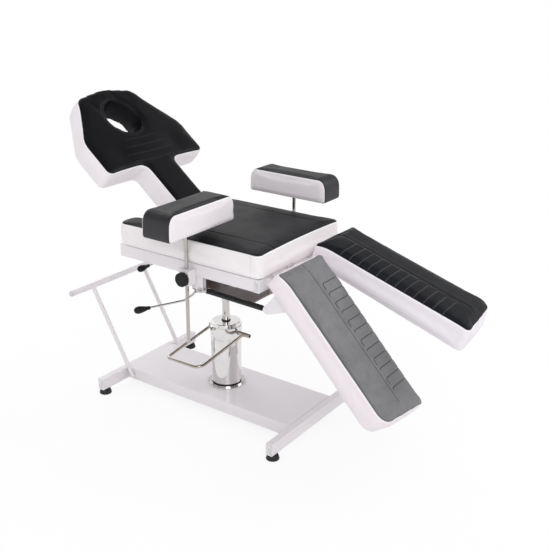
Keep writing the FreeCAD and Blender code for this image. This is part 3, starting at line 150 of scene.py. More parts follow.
def makeGrainGroup():  # pebbled vinyl: fine cells, soft creases and the height they give
    wires, given, end = startGroup(
        "vinylGrain",
        [("Vector", "NodeSocketVector", None), ("Cell Size", "NodeSocketFloat", 700.0),
         ("Crease", "NodeSocketFloat", 0.3)],
        [("Height", "NodeSocketFloat"), ("Mottle", "NodeSocketFloat")],
    )
    bent = wires.add("ShaderNodeTexNoise", inputs={"Vector": given["Vector"], "Scale": 240.0, "Detail": 1.0})
    shifted = wires.add("ShaderNodeVectorMath", operation="MULTIPLY_ADD",
                        inputs={0: bent.outputs["Color"], 1: (0.0016, 0.0016, 0.0016), 2: given["Vector"]})
    cells = wires.add("ShaderNodeTexVoronoi", feature="SMOOTH_F1",
                      inputs={"Vector": shifted.outputs[0], "Scale": given["Cell Size"], "Smoothness": 0.35})
    folds = wires.noise(given["Vector"], 34.0, 4.0, 0.6, 0.6)
    mottle = wires.noise(given["Vector"], 9.0, 4.0, 0.6)
    crease = wires.math("MULTIPLY", folds, given["Crease"])
    pebble = wires.math("MULTIPLY", cells.outputs["Distance"], 0.35)
    wires.feed(end.inputs["Height"], wires.math("ADD", pebble, crease))
    wires.feed(end.inputs["Mottle"], mottle)
    return wires.tree


def makeWearGroup():  # handled edges and settled dust for painted and moulded parts
    wires, given, end = startGroup(
        "edgeWear",
        [("Vector", "NodeSocketVector", None), ("Amount", "NodeSocketFloat", 0.3)],
        [("Edge", "NodeSocketFloat"), ("Dust", "NodeSocketFloat"), ("Smear", "NodeSocketFloat")],
    )
    geometry = wires.add("ShaderNodeNewGeometry")
    sharp = wires.ramp(geometry.outputs["Pointiness"], 0.505, 0.56)
    broken = wires.ramp(wires.noise(given["Vector"], 60.0, 5.0, 0.7), 0.42, 0.62)
    edge = wires.math("MULTIPLY", wires.math("MULTIPLY", sharp, broken), given["Amount"])
    upward = wires.add("ShaderNodeSeparateXYZ", inputs={0: geometry.outputs["Normal"]}).outputs[2]
    settled = wires.ramp(upward, 0.55, 1.0)
    patches = wires.ramp(wires.noise(given["Vector"], 14.0, 6.0, 0.65), 0.35, 0.75)
    wires.feed(end.inputs["Edge"], edge)
    wires.feed(end.inputs["Dust"], wires.math("MULTIPLY", settled, patches))
    wires.feed(end.inputs["Smear"], wires.noise(given["Vector"], 5.0, 5.0, 0.6, 0.8))
    return wires.tree


def makeBrushGroup():  # fine lines drawn along one direction on metal
    wires, given, end = startGroup(
        "brushedLines",
        [("Vector", "NodeSocketVector", None), ("Stretch", "NodeSocketVector", None)],
        [("Lines", "NodeSocketFloat"), ("Stain", "NodeSocketFloat")],
    )
    pulled = wires.add("ShaderNodeVectorMath", operation="MULTIPLY", inputs={0: given["Vector"], 1: given["Stretch"]})
    wires.feed(end.inputs["Lines"], wires.noise(pulled.outputs[0], 1.0, 3.0, 0.6))
    wires.feed(end.inputs["Stain"], wires.noise(given["Vector"], 11.0, 5.0, 0.65))
    return wires.tree


# Seams: the same lines are dips in the skin and, in its material, painted shade along the dips and the thread's
# stitches

legSeams = {
    "first": 0.105, "pitch": 0.0395, "count": 12, "inner": 0.013, "outer": 0.133, "bend": 0.008,
    "longHook": 0.024, "shortHook": 0.007, "long": 0.146, "longEnd": 0.590,
}
seatSeams = {"x": 0.172, "start": -0.366, "end": 0.112, "sideY": -0.324}
backSeams = {"first": 0.350, "pitch": 0.038, "count": 4, "half": 0.150, "step": 0.023, "sag": 0.010}
faceHole = {"along": 0.575, "radius": 0.085, "rimSeam": 0.009}
dashLength = 0.0052
# Half widths of the lines that the material draws
lineWidths = {"leg": 0.0014, "legLong": 0.0011, "back": 0.0013, "rim": 0.0011, "seat": 0.0012, "upright": 0.0010,
              "thread": 0.0007, "backThread": 0.0008}


def closeTo(wires, distance, width):  # a soft-edged line of the given half width
    return wires.ramp(distance, width * 0.45, width * 1.35, 1.0, 0.0)


def dashes(wires, run, length):  # thread that shows above and dives below
    phase = wires.math("FRACT", wires.math("DIVIDE", run, length))
    return wires.ramp(wires.math("ABSOLUTE", wires.math("SUBTRACT", phase, 0.5)), 0.24, 0.36, 1.0, 0.0)


def startStitchGroup(name):  # Line: seams across, Thread: their stitches, Long: the seam that runs along
    outputs = [(label, "NodeSocketFloat") for label in ("Line", "Thread", "Long")]
    return startGroup(name, [("Vector", "NodeSocketVector", None)], outputs)


def makeLegStitchGroup():  # ladder of hooked cross lines and one long seam
    wires, given, end = startStitchGroup("legStitch")
    x, y, z = wires.split(given["Vector"])
    across = wires.math("ABSOLUTE", x)
    along = wires.math("MULTIPLY", y, -1.0)
    start = wires.math("SUBTRACT", along, legSeams["first"])
    steps = wires.math("FLOOR", wires.math("ADD", wires.math("DIVIDE", start, legSeams["pitch"]), 0.2))
    number = wires.math("MINIMUM", wires.math("MAXIMUM", steps, 0.0), legSeams["count"] - 1.0)
    past = wires.math("SUBTRACT", start, wires.math("MULTIPLY", number, legSeams["pitch"]))
    over = wires.math("SUBTRACT", across, legSeams["outer"] - legSeams["bend"])
    short = wires.math("SUBTRACT", legSeams["bend"], past)
    outside = wires.span(wires.math("MAXIMUM", over, 0.0), wires.math("MAXIMUM", short, 0.0))
    inside = wires.math("MINIMUM", wires.math("MAXIMUM", over, short), 0.0)
    corner = wires.math("SUBTRACT", wires.math("ADD", outside, inside), legSeams["bend"])
    even = wires.math("FRACT", wires.math("MULTIPLY", number, 0.5))
    less = (legSeams["shortHook"] - legSeams["longHook"]) * 2
    reach = wires.math("ADD", wires.math("MULTIPLY", even, less), legSeams["longHook"])
    beyond = wires.math("MAXIMUM", wires.math("SUBTRACT", past, reach), 0.0)
    beyond = wires.math("ADD", beyond, wires.math("MAXIMUM", wires.math("SUBTRACT", legSeams["inner"], across), 0.0))
    lines = wires.span(corner, beyond)
    ends = wires.math("MAXIMUM", wires.math("SUBTRACT", along, legSeams["longEnd"]), 0.0)
    seam = wires.span(wires.math("SUBTRACT", across, legSeams["long"]), ends)
    wires.feed(end.inputs["Line"], closeTo(wires, lines, lineWidths["leg"]))
    wires.feed(end.inputs["Long"], closeTo(wires, seam, lineWidths["legLong"]))
    onLine = closeTo(wires, lines, lineWidths["thread"])
    stitches = dashes(wires, wires.math("ADD", across, past), dashLength)
    wires.feed(end.inputs["Thread"], wires.math("MULTIPLY", onLine, stitches))
    return wires.tree


def makeBackStitchGroup():  # bowed cross lines over the neck
    wires, given, end = startStitchGroup("backStitch")
    x, y, z = wires.split(given["Vector"])
    flat = wires.math("MULTIPLY", wires.math("MULTIPLY", x, x), -backSeams["sag"] / backSeams["half"] ** 2)
    bowed = wires.math("ADD", wires.math("ADD", y, flat), backSeams["sag"] - backSeams["first"])
    steps = wires.math("ROUND", wires.math("DIVIDE", bowed, backSeams["pitch"]))
    number = wires.math("MINIMUM", wires.math("MAXIMUM", steps, 0.0), backSeams["count"] - 1.0)
    past = wires.math("SUBTRACT", bowed, wires.math("MULTIPLY", number, backSeams["pitch"]))
    half = wires.math("SUBTRACT", backSeams["half"], wires.math("MULTIPLY", number, backSeams["step"]))
    beyond = wires.math("MAXIMUM", wires.math("SUBTRACT", wires.math("ABSOLUTE", x), half), 0.0)
    lines = wires.span(past, beyond)
    wires.feed(end.inputs["Line"], closeTo(wires, lines, lineWidths["back"]))
    onLine = closeTo(wires, lines, lineWidths["backThread"])
    wires.feed(end.inputs["Thread"], wires.math("MULTIPLY", onLine, dashes(wires, x, dashLength)))
    rho = wires.span(x, wires.math("SUBTRACT", y, faceHole["along"]))
    rim = wires.math("ABSOLUTE", wires.math("SUBTRACT", rho, faceHole["radius"] + faceHole["rimSeam"]))
    wires.feed(end.inputs["Long"], closeTo(wires, rim, lineWidths["rim"]))
    return wires.tree


def makeSeatStitchGroup():  # one thin seam along each side of the seat and one down its near side
    wires, given, end = startStitchGroup("seatStitch")
    x, y, z = wires.split(given["Vector"])
    across = wires.math("SUBTRACT", wires.math("ABSOLUTE", x), seatSeams["x"])
    beyond = wires.math("MAXIMUM", wires.math("SUBTRACT", y, seatSeams["end"]), 0.0)
    lines = wires.span(across, beyond)
    wires.feed(end.inputs["Line"], closeTo(wires, lines, lineWidths["seat"]))
    onLine = closeTo(wires, lines, lineWidths["thread"])
    wires.feed(end.inputs["Thread"], wires.math("MULTIPLY", onLine, dashes(wires, y, dashLength)))
    upright = wires.math("ABSOLUTE", wires.math("SUBTRACT", y, seatSeams["sideY"]))
    wires.feed(end.inputs["Long"], closeTo(wires, upright, lineWidths["upright"]))
    return wires.tree


grainGroup = makeGrainGroup()
wearGroup = makeWearGroup()
brushGroup = makeBrushGroup()
stitchGroups = {"leg": makeLegStitchGroup(), "back": makeBackStitchGroup(), "seat": makeSeatStitchGroup()}


def startMaterial(name, **sockets):
    material = bpy.data.materials.new(name)
    material.use_nodes = True
    tree = material.node_tree
    shader = tree.nodes["Principled BSDF"]
    for label, value in sockets.items():
        shader.inputs[label.replace("_", " ")].default_value = value
    wires = Wires(tree)
    place = wires.add("ShaderNodeTexCoord").outputs["Object"]
    return material, wires, shader, place


def bump(wires, shader, height, distance, strength=1.0):
    node = wires.add("ShaderNodeBump", inputs={"Height": height, "Distance": distance, "Strength": strength})
    wires.tree.links.new(node.outputs[0], shader.inputs["Normal"])


def makePaint(name, color, shade, wornColor, wornShare, roughness, peel, coat, level=0.5):
    material, wires, shader, place = startMaterial(
        name, Coat_Weight=coat, Coat_Roughness=0.18, Specular_IOR_Level=level)
    wear = wires.group(wearGroup, Vector=place, Amount=wornShare)
    base = wires.mixColor(wires.ramp(wear["Smear"], 0.2, 0.8), rgb(*color), rgb(*shade))
    base = wires.mixColor(wires.math("MULTIPLY", wear["Dust"], 0.015), base, rgb(0.5, 0.49, 0.47))
    base = wires.mixColor(wear["Edge"], base, rgb(*wornColor))
    wires.feed(shader.inputs["Base Color"], base)
    wires.feed(shader.inputs["Roughness"], wires.ramp(wear["Smear"], 0.2, 0.8, roughness - 0.01, roughness + 0.015))
    bump(wires, shader, wires.noise(place, 420.0, 2.0, 0.5), peel)
    return material


def makeChrome(name, tint, roughness):
    material, wires, shader, place = startMaterial(name, Metallic=1.0)
    lines = wires.group(brushGroup, Vector=place, Stretch=(30.0, 30.0, 900.0))
    smoke = wires.ramp(lines["Stain"], 0.35, 0.75)
    wires.feed(shader.inputs["Base Color"], wires.mixColor(smoke, rgb(*tint), rgb(*[c * 0.9 for c in tint])))
    haze = wires.ramp(lines["Lines"], 0.3, 0.7, roughness, roughness + 0.03)
    wires.feed(shader.inputs["Roughness"], wires.math("ADD", wires.math("MULTIPLY", smoke, 0.04), haze))
    bump(wires, shader, lines["Lines"], 0.00002, 0.35)
    return material


def makeSteel(name, tint, stretch, roughness):
    material, wires, shader, place = startMaterial(name, Metallic=1.0, Anisotropic=0.3)
    lines = wires.group(brushGroup, Vector=place, Stretch=stretch)
    wear = wires.group(wearGroup, Vector=place, Amount=0.6)
    base = wires.mixColor(wires.ramp(lines["Stain"], 0.4, 0.8, 0.0, 0.6), rgb(*tint), rgb(*[c * 0.72 for c in tint]))
    base = wires.mixColor(wear["Edge"], base, rgb(0.82, 0.82, 0.83))
    wires.feed(shader.inputs["Base Color"], base)
    wires.feed(shader.inputs["Roughness"], wires.ramp(lines["Lines"], 0.25, 0.75, roughness - 0.07, roughness + 0.1))
    bump(wires, shader, lines["Lines"], 0.00005, 0.6)
    return material


def makeMoulded(name, color, roughness, texture, depth, level=0.45):
    material, wires, shader, place = startMaterial(name, Specular_IOR_Level=level)
    wear = wires.group(wearGroup, Vector=place, Amount=0.4)
    dusty = rgb(*[min(c * 1.6 + 0.03, 1) for c in color])
    rubbed = rgb(*[min(c * 2.0 + 0.05, 1) for c in color])
    base = wires.mixColor(wires.math("MULTIPLY", wear["Dust"], 0.35), rgb(*color), dusty)
    base = wires.mixColor(wear["Edge"], base, rubbed)
    wires.feed(shader.inputs["Base Color"], base)
    wires.feed(shader.inputs["Roughness"], wires.ramp(wear["Smear"], 0.3, 0.7, roughness - 0.08, roughness + 0.08))
    bump(wires, shader, wires.noise(place, texture, 3.0, 0.6), depth)
    return material


def makeBoard(name):
    material, wires, shader, place = startMaterial(name)
    pulled = wires.add("ShaderNodeVectorMath", operation="MULTIPLY", inputs={0: place, 1: (26.0, 3.0, 60.0)})
    grain = wires.noise(pulled.outputs[0], 3.0, 7.0, 0.65, 0.7)
    pores = wires.noise(pulled.outputs[0], 30.0, 3.0, 0.7)
    base = wires.mixColor(wires.ramp(grain, 0.35, 0.68), rgb(0.15, 0.098, 0.088), rgb(0.225, 0.160, 0.145))
    base = wires.mixColor(wires.ramp(pores, 0.55, 0.75, 0.0, 0.5), base, rgb(0.09, 0.058, 0.052))
    wires.feed(shader.inputs["Base Color"], base)
    wires.feed(shader.inputs["Roughness"], wires.ramp(grain, 0.3, 0.7, 0.6, 0.8))
    bump(wires, shader, wires.math("ADD", grain, pores), 0.0002, 0.7)
    return material


# Two-tone vinyl. The attribute "panelEdge" holds each point's distance above the seam between top and side.
# Sizes in metres from that seam: the side's folded band (lightened as a painted highlight), the top's rolled edge and
# the crease (both darkened as painted shade), the side's row of stitches, and how far the skin is drawn in.
coverEdge = {
    "join": 0.0004, "rolledTo": 0.0055, "band": (-0.0075, -0.0066), "crease": (0.0005, 0.0016),
    "drawn": (0.001, 0.011), "hem": 0.0062, "hemWidth": 0.0007, "hemDash": 0.0048,
}
# For each pad: the top's darkest value where it rolls over its edge is painted shade, as is the darkening along the
# seam dips
vinylTones = {
    "back": {"top": (0.0045, 0.0045, 0.0062), "side": (0.88, 0.83, 0.85), "shine": 0.44, "level": 0.22,
             "rolledShade": 0.55, "stitch": "back", "thread": (0.045, 0.045, 0.05), "line": 0.3},
    "seat": {"top": (0.0145, 0.0145, 0.0168), "side": (0.89, 0.85, 0.852), "shine": 0.50, "level": 0.32,
             "rolledShade": 0.6, "stitch": "seat", "thread": (0.06, 0.06, 0.065), "line": 0.45},
    # The near leg's grey top colour is a painted sheen: the cover is black vinyl like the far leg's
    "nearLeg": {"top": (0.168, 0.168, 0.172), "side": (0.84, 0.77, 0.795), "shine": 0.52, "level": 0.4,
                "rolledShade": 0.5, "stitch": "leg", "thread": (0.014, 0.014, 0.016), "line": 0.07},
    "farLeg": {"top": (0.010, 0.0105, 0.0135), "side": (0.85, 0.80, 0.84), "shine": 0.46, "level": 0.15,
               "rolledShade": 0.7, "stitch": "leg", "thread": (0.26, 0.26, 0.27), "line": 0.35},
    "arm": {"top": (0.018, 0.018, 0.020), "side": (0.86, 0.81, 0.835), "shine": 0.46, "level": 0.42,
            "rolledShade": 0.7, "stitch": None},
}


def makeVinyl(name, tone, origin, tilt, turn):
    material, wires, shader, place = startMaterial(name, Specular_IOR_Level=tone["level"])
    edge = wires.add("ShaderNodeAttribute", attribute_name="panelEdge").outputs["Fac"]
    isTop = wires.ramp(edge, -coverEdge["join"], coverEdge["join"])
    grain = wires.group(grainGroup, Vector=place, **{"Cell Size": 620.0, "Crease": 0.32})
    mottle = wires.ramp(grain["Mottle"], 0.3, 0.72)
    fleck = wires.ramp(grain["Height"], 0.15, 0.42, 0.82, 1.12)
    top = wires.mixColor(mottle, rgb(*tone["top"]), rgb(*[c * 1.22 for c in tone["top"]]))
    # The top darkens where it rolls over towards the seam: painted shade
    rolledShade = wires.ramp(edge, coverEdge["join"], coverEdge["rolledTo"], tone["rolledShade"], 1.0)
    rolledShade = wires.math("MULTIPLY", rolledShade, fleck)
    top = wires.add("ShaderNodeVectorMath", operation="SCALE", inputs={0: top, "Scale": rolledShade}).outputs[0]
    side = wires.mixColor(mottle, rgb(*tone["side"]), rgb(*[c * 0.975 for c in tone["side"]]))
    y = wires.split(place)[1]
    fromHem = wires.math("ABSOLUTE", wires.math("ADD", edge, coverEdge["hem"]))
    onHem = closeTo(wires, fromHem, coverEdge["hemWidth"])
    hem = wires.math("MULTIPLY", onHem, dashes(wires, y, coverEdge["hemDash"]))
    # The side's folded band next to the seam is lightened in colour: a painted highlight along the fold; the same
    # band also raises the bump
    foldRidgeAndHighlight = wires.ramp(edge, *coverEdge["band"])
    side = wires.mixColor(wires.math("MULTIPLY", foldRidgeAndHighlight, 0.5), side, rgb(0.93, 0.92, 0.92))
    side = wires.mixColor(wires.math("MULTIPLY", hem, 0.35), side, rgb(0.42, 0.40, 0.41))
    height = wires.math("ADD", grain["Height"], wires.math("MULTIPLY", foldRidgeAndHighlight, 0.35))
    height = wires.math("SUBTRACT", height, wires.math("MULTIPLY", hem, 0.5))
    if tone["stitch"]:
        own = wires.add("ShaderNodeMapping", vector_type="TEXTURE", inputs={
            "Vector": place, "Location": origin, "Rotation": (math.radians(tilt), 0, math.radians(turn))})
        sewn = wires.group(stitchGroups[tone["stitch"]], Vector=own.outputs[0])
        onSide = wires.math("MULTIPLY", sewn["Long"], wires.math("SUBTRACT", 1.0, isTop))
        onTop = wires.math("MAXIMUM", sewn["Line"], sewn["Long"]) if tone["stitch"] != "seat" else sewn["Line"]
        onTop = wires.math("MULTIPLY", onTop, isTop)
        # The top darkens along the seam lines: painted shade in the seam dips
        seamGrooveShade = wires.ramp(onTop, 0.0, 1.0, 1.0, tone["line"])
        top = wires.add("ShaderNodeVectorMath", operation="SCALE", inputs={0: top, "Scale": seamGrooveShade}).outputs[0]
        top = wires.mixColor(wires.math("MULTIPLY", sewn["Thread"], 0.85), top, rgb(*tone["thread"]))
        # The upright seam on the white side is drawn grey: painted shade in its groove
        if tone["stitch"] == "seat":
            side = wires.mixColor(wires.math("MULTIPLY", onSide, 0.3), side, rgb(0.3, 0.29, 0.29))
        height = wires.math("SUBTRACT", height, wires.math("MULTIPLY", onTop, 0.8))
        height = wires.math("ADD", height, wires.math("MULTIPLY", wires.math("MULTIPLY", sewn["Thread"], isTop), 0.7))
    base = wires.mixColor(isTop, side, top)
    fold = wires.math("ABSOLUTE", edge)
    # Within the crease at the seam the colour drops to 0.7: painted shade in the crease
    crease = wires.ramp(fold, *coverEdge["crease"], 0.7, 1.0)
    creaseShadedBase = wires.add("ShaderNodeVectorMath", operation="SCALE", inputs={0: base, "Scale": crease})
    wires.feed(shader.inputs["Base Color"], creaseShadedBase.outputs[0])
    level = wires.ramp(isTop, 0.0, 1.0, 0.44, tone["shine"])
    uneven = wires.ramp(grain["Mottle"], 0.25, 0.75, -0.05, 0.06)
    wires.feed(shader.inputs["Roughness"], wires.math("ADD", level, uneven))
    pucker = wires.add("ShaderNodeTexWave", wave_type="BANDS", bands_direction="DIAGONAL",
                       inputs={"Vector": place, "Scale": 42.0, "Distortion": 3.0, "Detail": 2.0})
    nearSeam = wires.ramp(fold, *coverEdge["drawn"], 1.0, 0.0)
    drawn = wires.math("MULTIPLY", wires.math("MULTIPLY", pucker.outputs["Fac"], nearSeam), 0.4)
    bump(wires, shader, wires.math("ADD", height, drawn), 0.0007, 0.7)
    return material


# Paint: colour, shade, worn colour, worn share, roughness, height of the orange peel, coat, level
paintWhite = makePaint("paintWhite", (0.80, 0.765, 0.785), (0.795, 0.76, 0.78), (0.74, 0.71, 0.72),
                       0.05, 0.34, 0.00001, 0.22)
paintBlack = makePaint("paintBlack", (0.006, 0.006, 0.007), (0.008, 0.008, 0.009), (0.1, 0.1, 0.1),
                       0.1, 0.20, 0.00006, 0.35, 0.1)
# Dark mauve-brown: painted shade for the white-painted bracket that sits in shade under the seat
saddleShadePaint = makePaint("saddleShadePaint", (0.27, 0.215, 0.21), (0.22, 0.172, 0.168), (0.4, 0.38, 0.37),
                        0.1, 0.40, 0.00010, 0.15)
chrome = makeChrome("chrome", (0.765, 0.75, 0.745), 0.05)
steel = makeSteel("zincSteel", (0.55, 0.55, 0.56), (900.0, 60.0, 60.0), 0.30)
rodSteel = makeChrome("rodChrome", (0.60, 0.575, 0.56), 0.05)
loopSteel = makeChrome("loopChrome", (0.52, 0.47, 0.43), 0.12)
postSteel = makeChrome("postChrome", (0.50, 0.47, 0.445), 0.16)
# Moulded parts: colour, roughness, scale of the texture, its depth, level
rubber = makeMoulded("footRubber", (0.014, 0.014, 0.015), 0.62, 900.0, 0.0002)
plastic = makeMoulded("mouldedPlastic", (0.010, 0.010, 0.011), 0.34, 1300.0, 0.00012, 0.2)
greyPlastic = makeMoulded("plugPlastic", (0.62, 0.60, 0.61), 0.42, 1100.0, 0.0001)
plywood = makeBoard("plywood")
finishes = {
    "white_paint": paintWhite, "black_paint": paintBlack, "chrome": chrome, "steel": steel,
    "board": plywood, "black_rubber": rubber, "black_plastic": plastic, "grey_plastic": greyPlastic,
}
print("stage: materials")


def dressNodes():
    slots = {part["node"]: part["material_slot"] for part in frame["record"]["subparts"]}
    for name, node in nodes.items():
        finish = finishes.get(slots.get(name))
        if finish is None:
            continue
        node.data.materials.clear()
        node.data.materials.append(finish)
        for face in node.data.polygons:
            face.material_index = 0
    for name in ("piston_rod", "near_strut_rod", "far_strut_rod", "back_strut_rod"):
        nodes[name].data.materials[0] = rodSteel
    # The saddle bracket takes the dark paint: painted shade under the seat
    nodes["saddle_bracket"].data.materials[0] = saddleShadePaint
    for name in ("pedal_loop", "pedal_stub"):
        nodes[name].data.materials[0] = loopSteel
    for name in ("near_arm_post", "far_arm_post"):
        nodes[name].data.materials[0] = postSteel


dressNodes()
print("stage: frame parts dressed")


# Padded pieces

def deselect():
    bpy.ops.object.select_all(action="DESELECT")


def makeActive(piece):
    deselect()
    piece.hide_set(False)
    piece.select_set(True)
    bpy.context.view_layer.objects.active = piece


def applyModifier(piece, kind, **values):
    makeActive(piece)
    modifier = piece.modifiers.new(kind.lower(), kind)
    for name, value in values.items():
        setattr(modifier, name, value)
    bpy.ops.object.modifier_apply(modifier=modifier.name)


def readPoints(piece):
    flat = np.empty(len(piece.data.vertices) * 3)
    piece.data.vertices.foreach_get("co", flat)
    return flat.reshape(-1, 3)


def writePoints(piece, points):
    piece.data.vertices.foreach_set("co", points.ravel())
    piece.data.update()


def readNormals(piece):
    flat = np.empty(len(piece.data.vertices) * 3)
    piece.data.vertex_normals.foreach_get("vector", flat)
    return flat.reshape(-1, 3)


def writeShare(piece, name, values):
    layer = piece.data.attributes.new(name, "FLOAT", "POINT")
    layer.data.foreach_set("value", values.astype(np.float32))


def readShare(piece, name):
    values = np.empty(len(piece.data.vertices), dtype=np.float32)
    piece.data.attributes[name].data.foreach_get("value", values)
    return values.astype(float)


def smoothStep(values, low, high):
    share = np.clip((values - low) / (high - low), 0, 1)
    return share * share * (3 - 2 * share)


def copyNode(name, label):  # a new piece with the closed, merged form of a frame node
    mesh = nodes[name].data.copy()
    mesh.name = label
    piece = bpy.data.objects.new(label, mesh)
    bpy.context.collection.objects.link(piece)
    makeActive(piece)
    bpy.ops.object.mode_set(mode="EDIT")
    bpy.ops.mesh.select_all(action="SELECT")
    bpy.ops.mesh.remove_doubles(threshold=0.00002)
    bpy.ops.mesh.normals_make_consistent(inside=False)
    bpy.ops.object.mode_set(mode="OBJECT")
    piece.data.materials.clear()
    return piece


def placeOf(origin, tiltDegrees, turnDegrees=0.0):  # the pad's own frame: X across, Y along, Z out of its board
    turn = Matrix.Rotation(math.radians(turnDegrees), 3, "Z") @ Matrix.Rotation(math.radians(tiltDegrees), 3, "X")
    return np.array(turn), np.array(origin)


def toLocal(points, place):
    turn, origin = place
    return (points - origin) @ turn


def toWorld(points, place):
    turn, origin = place
    return points @ turn.T + origin


clothSettings = {
    "quality": 4, "mass": 0.4, "tension_stiffness": 22, "compression_stiffness": 22, "shear_stiffness": 14,
    "bending_stiffness": 0.8, "vertex_group_mass": "held", "use_pressure": True,
}
clothFrames = 20


# Blows the pad up as a skin held where it rests, then keeps each point near its start
def inflate(piece, place, settings):
    before = readPoints(piece)
    local = toLocal(before, place)
    held = piece.vertex_groups.new(name="held")
    low = local[:, 2].min()
    for index in np.nonzero(local[:, 2] < low + settings["heldBand"])[0]:
        held.add([int(index)], 1.0, "ADD")
    makeActive(piece)
    bpy.ops.object.modifier_add(type="CLOTH")
    cloth = piece.modifiers[-1]
    for name, value in clothSettings.items():
        setattr(cloth.settings, name, value)
    cloth.settings.uniform_pressure_force = settings["pressure"]
    cloth.settings.effector_weights.gravity = 0
    cloth.collision_settings.use_collision = False
    cloth.point_cache.frame_start = 1
    cloth.point_cache.frame_end = clothFrames
    for number in range(1, clothFrames + 1):
        bpy.context.scene.frame_set(number)
    makeActive(piece)
    bpy.ops.object.modifier_apply(modifier=cloth.name)
    bpy.context.scene.frame_set(1)
    moved = readPoints(piece) - before
    far = np.linalg.norm(moved, axis=1)
    keep = np.minimum(1, settings["cap"] / np.maximum(far, 1e-9))
    writePoints(piece, before + moved * keep[:, None])
    pushed = round(float(np.percentile(far, 95)) * 1000, 1)
    print("   ", piece.name, "pushed out by", pushed, "mm, kept under", settings["cap"] * 1000)


def carve(piece, place, depthOf):  # sinks the points along their normals by a depth found from their place on the pad
    points = readPoints(piece)
    writePoints(piece, points - readNormals(piece) * depthOf(toLocal(points, place))[:, None])


def groove(distance, width, depth):  # a soft dip along a line
    return depth * np.exp(-(distance / width) ** 2)


def rollOver(local, settings):  # how far the end at the hinge sinks
    start = -local[:, 1].max()
    inside = np.clip((start + settings["round"] + local[:, 1]) / settings["round"], 0, 1)
    return settings["drop"] * (1 - np.sqrt(1 - inside ** 2))


# Where each change of form sets in, in metres on the pad
reaches = {"widen": (0.02, 0.05), "stretch": (0.635, 0.70), "lining": (0.130, 0.090)}
usualCalm = 3


def plump(piece, place, settings):  # the padding stands a little over the plain solid
    local = toLocal(readPoints(piece), place)
    low, high = local[:, 2].min(), local[:, 2].max()
    share = (local[:, 2] - low) / (high - low)
    local[:, 2] += share * settings["rise"] - (1 - share) * settings["wrap"]
    if "round" in settings:  # the end at the hinge rolls over
        local[:, 2] -= share ** 2 * rollOver(local, settings)
    if "widen" in settings:
        local[:, 0] += np.sign(local[:, 0]) * settings["widen"] * smoothStep(np.abs(local[:, 0]), *reaches["widen"])
    if "stretch" in settings:  # the head end
        local[:, 1] += settings["stretch"] * smoothStep(local[:, 1], *reaches["stretch"])
    if "lining" in settings:  # the face opening narrows towards the board
        offset = local[:, 1] - faceHole["along"]
        rho = np.hypot(local[:, 0], offset)
        pull = settings["lining"] * (1 - share) * smoothStep(rho, *reaches["lining"])
        local[:, 0] -= local[:, 0] / rho * pull
        local[:, 1] -= offset / rho * pull
    writePoints(piece, toWorld(local, place))


def padBody(label, node, place, settings):
    piece = copyNode(node, label)
    plump(piece, place, settings)
    applyModifier(piece, "REMESH", mode="VOXEL", voxel_size=settings["voxel"], use_smooth_shade=True)
    if "border" in settings:  # the side panels of an armrest end a little inside its corner
        local = np.abs(toLocal(readPoints(piece), place))
        edge = local[:, 0].max() - settings["border"] - local[:, 0]
        inside = np.minimum(local[:, 2].max() - local[:, 2], local[:, 1].max() - local[:, 1])
        writeShare(piece, "panelEdge", np.where(edge < 0, np.minimum(edge, -inside), edge))
    makeActive(piece)
    bpy.ops.object.mode_set(mode="EDIT")
    bpy.ops.mesh.select_all(action="SELECT")
    bpy.ops.mesh.normals_make_consistent(inside=False)
    bpy.ops.transform.shrink_fatten(value=settings["start"])
    bpy.ops.object.mode_set(mode="OBJECT")
    applyModifier(piece, "SMOOTH", factor=0.5, iterations=settings["ease"])
    inflate(piece, place, settings)
    applyModifier(piece, "SMOOTH", factor=0.5, iterations=settings.get("calm", usualCalm))
    applyModifier(piece, "SUBSURF", levels=1, render_levels=1)
    makeActive(piece)
    bpy.ops.object.shade_smooth()
    return piece


# Each point's distance from the nearest seam; the same lines as the stitch groups draw
def legSeamDistance(local):
    across = np.abs(local[:, 0])
    along = -local[:, 1]
    steps = (along - legSeams["first"]) / legSeams["pitch"]
    number = np.clip(np.floor(steps + 0.2), 0, legSeams["count"] - 1)
    past = along - legSeams["first"] - number * legSeams["pitch"]
    bend = legSeams["bend"]
    over = across - (legSeams["outer"] - bend)
    short = bend - past
    corner = np.hypot(np.maximum(over, 0), np.maximum(short, 0)) + np.minimum(np.maximum(over, short), 0) - bend
    reach = np.where(number % 2 == 0, legSeams["longHook"], legSeams["shortHook"])
    beyond = np.maximum(past - reach, 0) + np.maximum(legSeams["inner"] - across, 0)
    lines = np.hypot(corner, beyond)
    return lines, np.hypot(across - legSeams["long"], np.maximum(along - legSeams["longEnd"], 0))


def backSeamDistance(local):
    across = local[:, 0]
    bowed = local[:, 1] + backSeams["sag"] * (1 - (across / backSeams["half"]) ** 2)
    steps = (bowed - backSeams["first"]) / backSeams["pitch"]
    number = np.clip(np.round(steps), 0, backSeams["count"] - 1)
    past = bowed - backSeams["first"] - number * backSeams["pitch"]
    half = backSeams["half"] - backSeams["step"] * number
    return np.hypot(past, np.maximum(np.abs(across) - half, 0))


def seatSeamDistance(local):
    across = np.abs(local[:, 0]) - seatSeams["x"]
    beyond = np.maximum(local[:, 1] - seatSeams["end"], 0)
    return np.hypot(across, beyond)


# The height of the seam between top and side, fitted to the points where the skin turns over the rim
def seamHeight(local, up, wanted, keep):
    turning = (up > wanted - seamBand) & (up < wanted + seamBand) & keep(local)
    x, y, z = local[turning].T
    rows = np.column_stack([np.ones_like(x), x * x, y])
    fit = np.linalg.lstsq(rows, z, rcond=None)[0]
    return fit[0] + fit[1] * local[:, 0] ** 2 + fit[2] * local[:, 1]


def readTurn(piece, place):  # each point's place on the pad, and how far its normal points up there
    local = toLocal(readPoints(piece), place)
    return local, toLocal(readNormals(piece) + place[1], place)[:, 2]


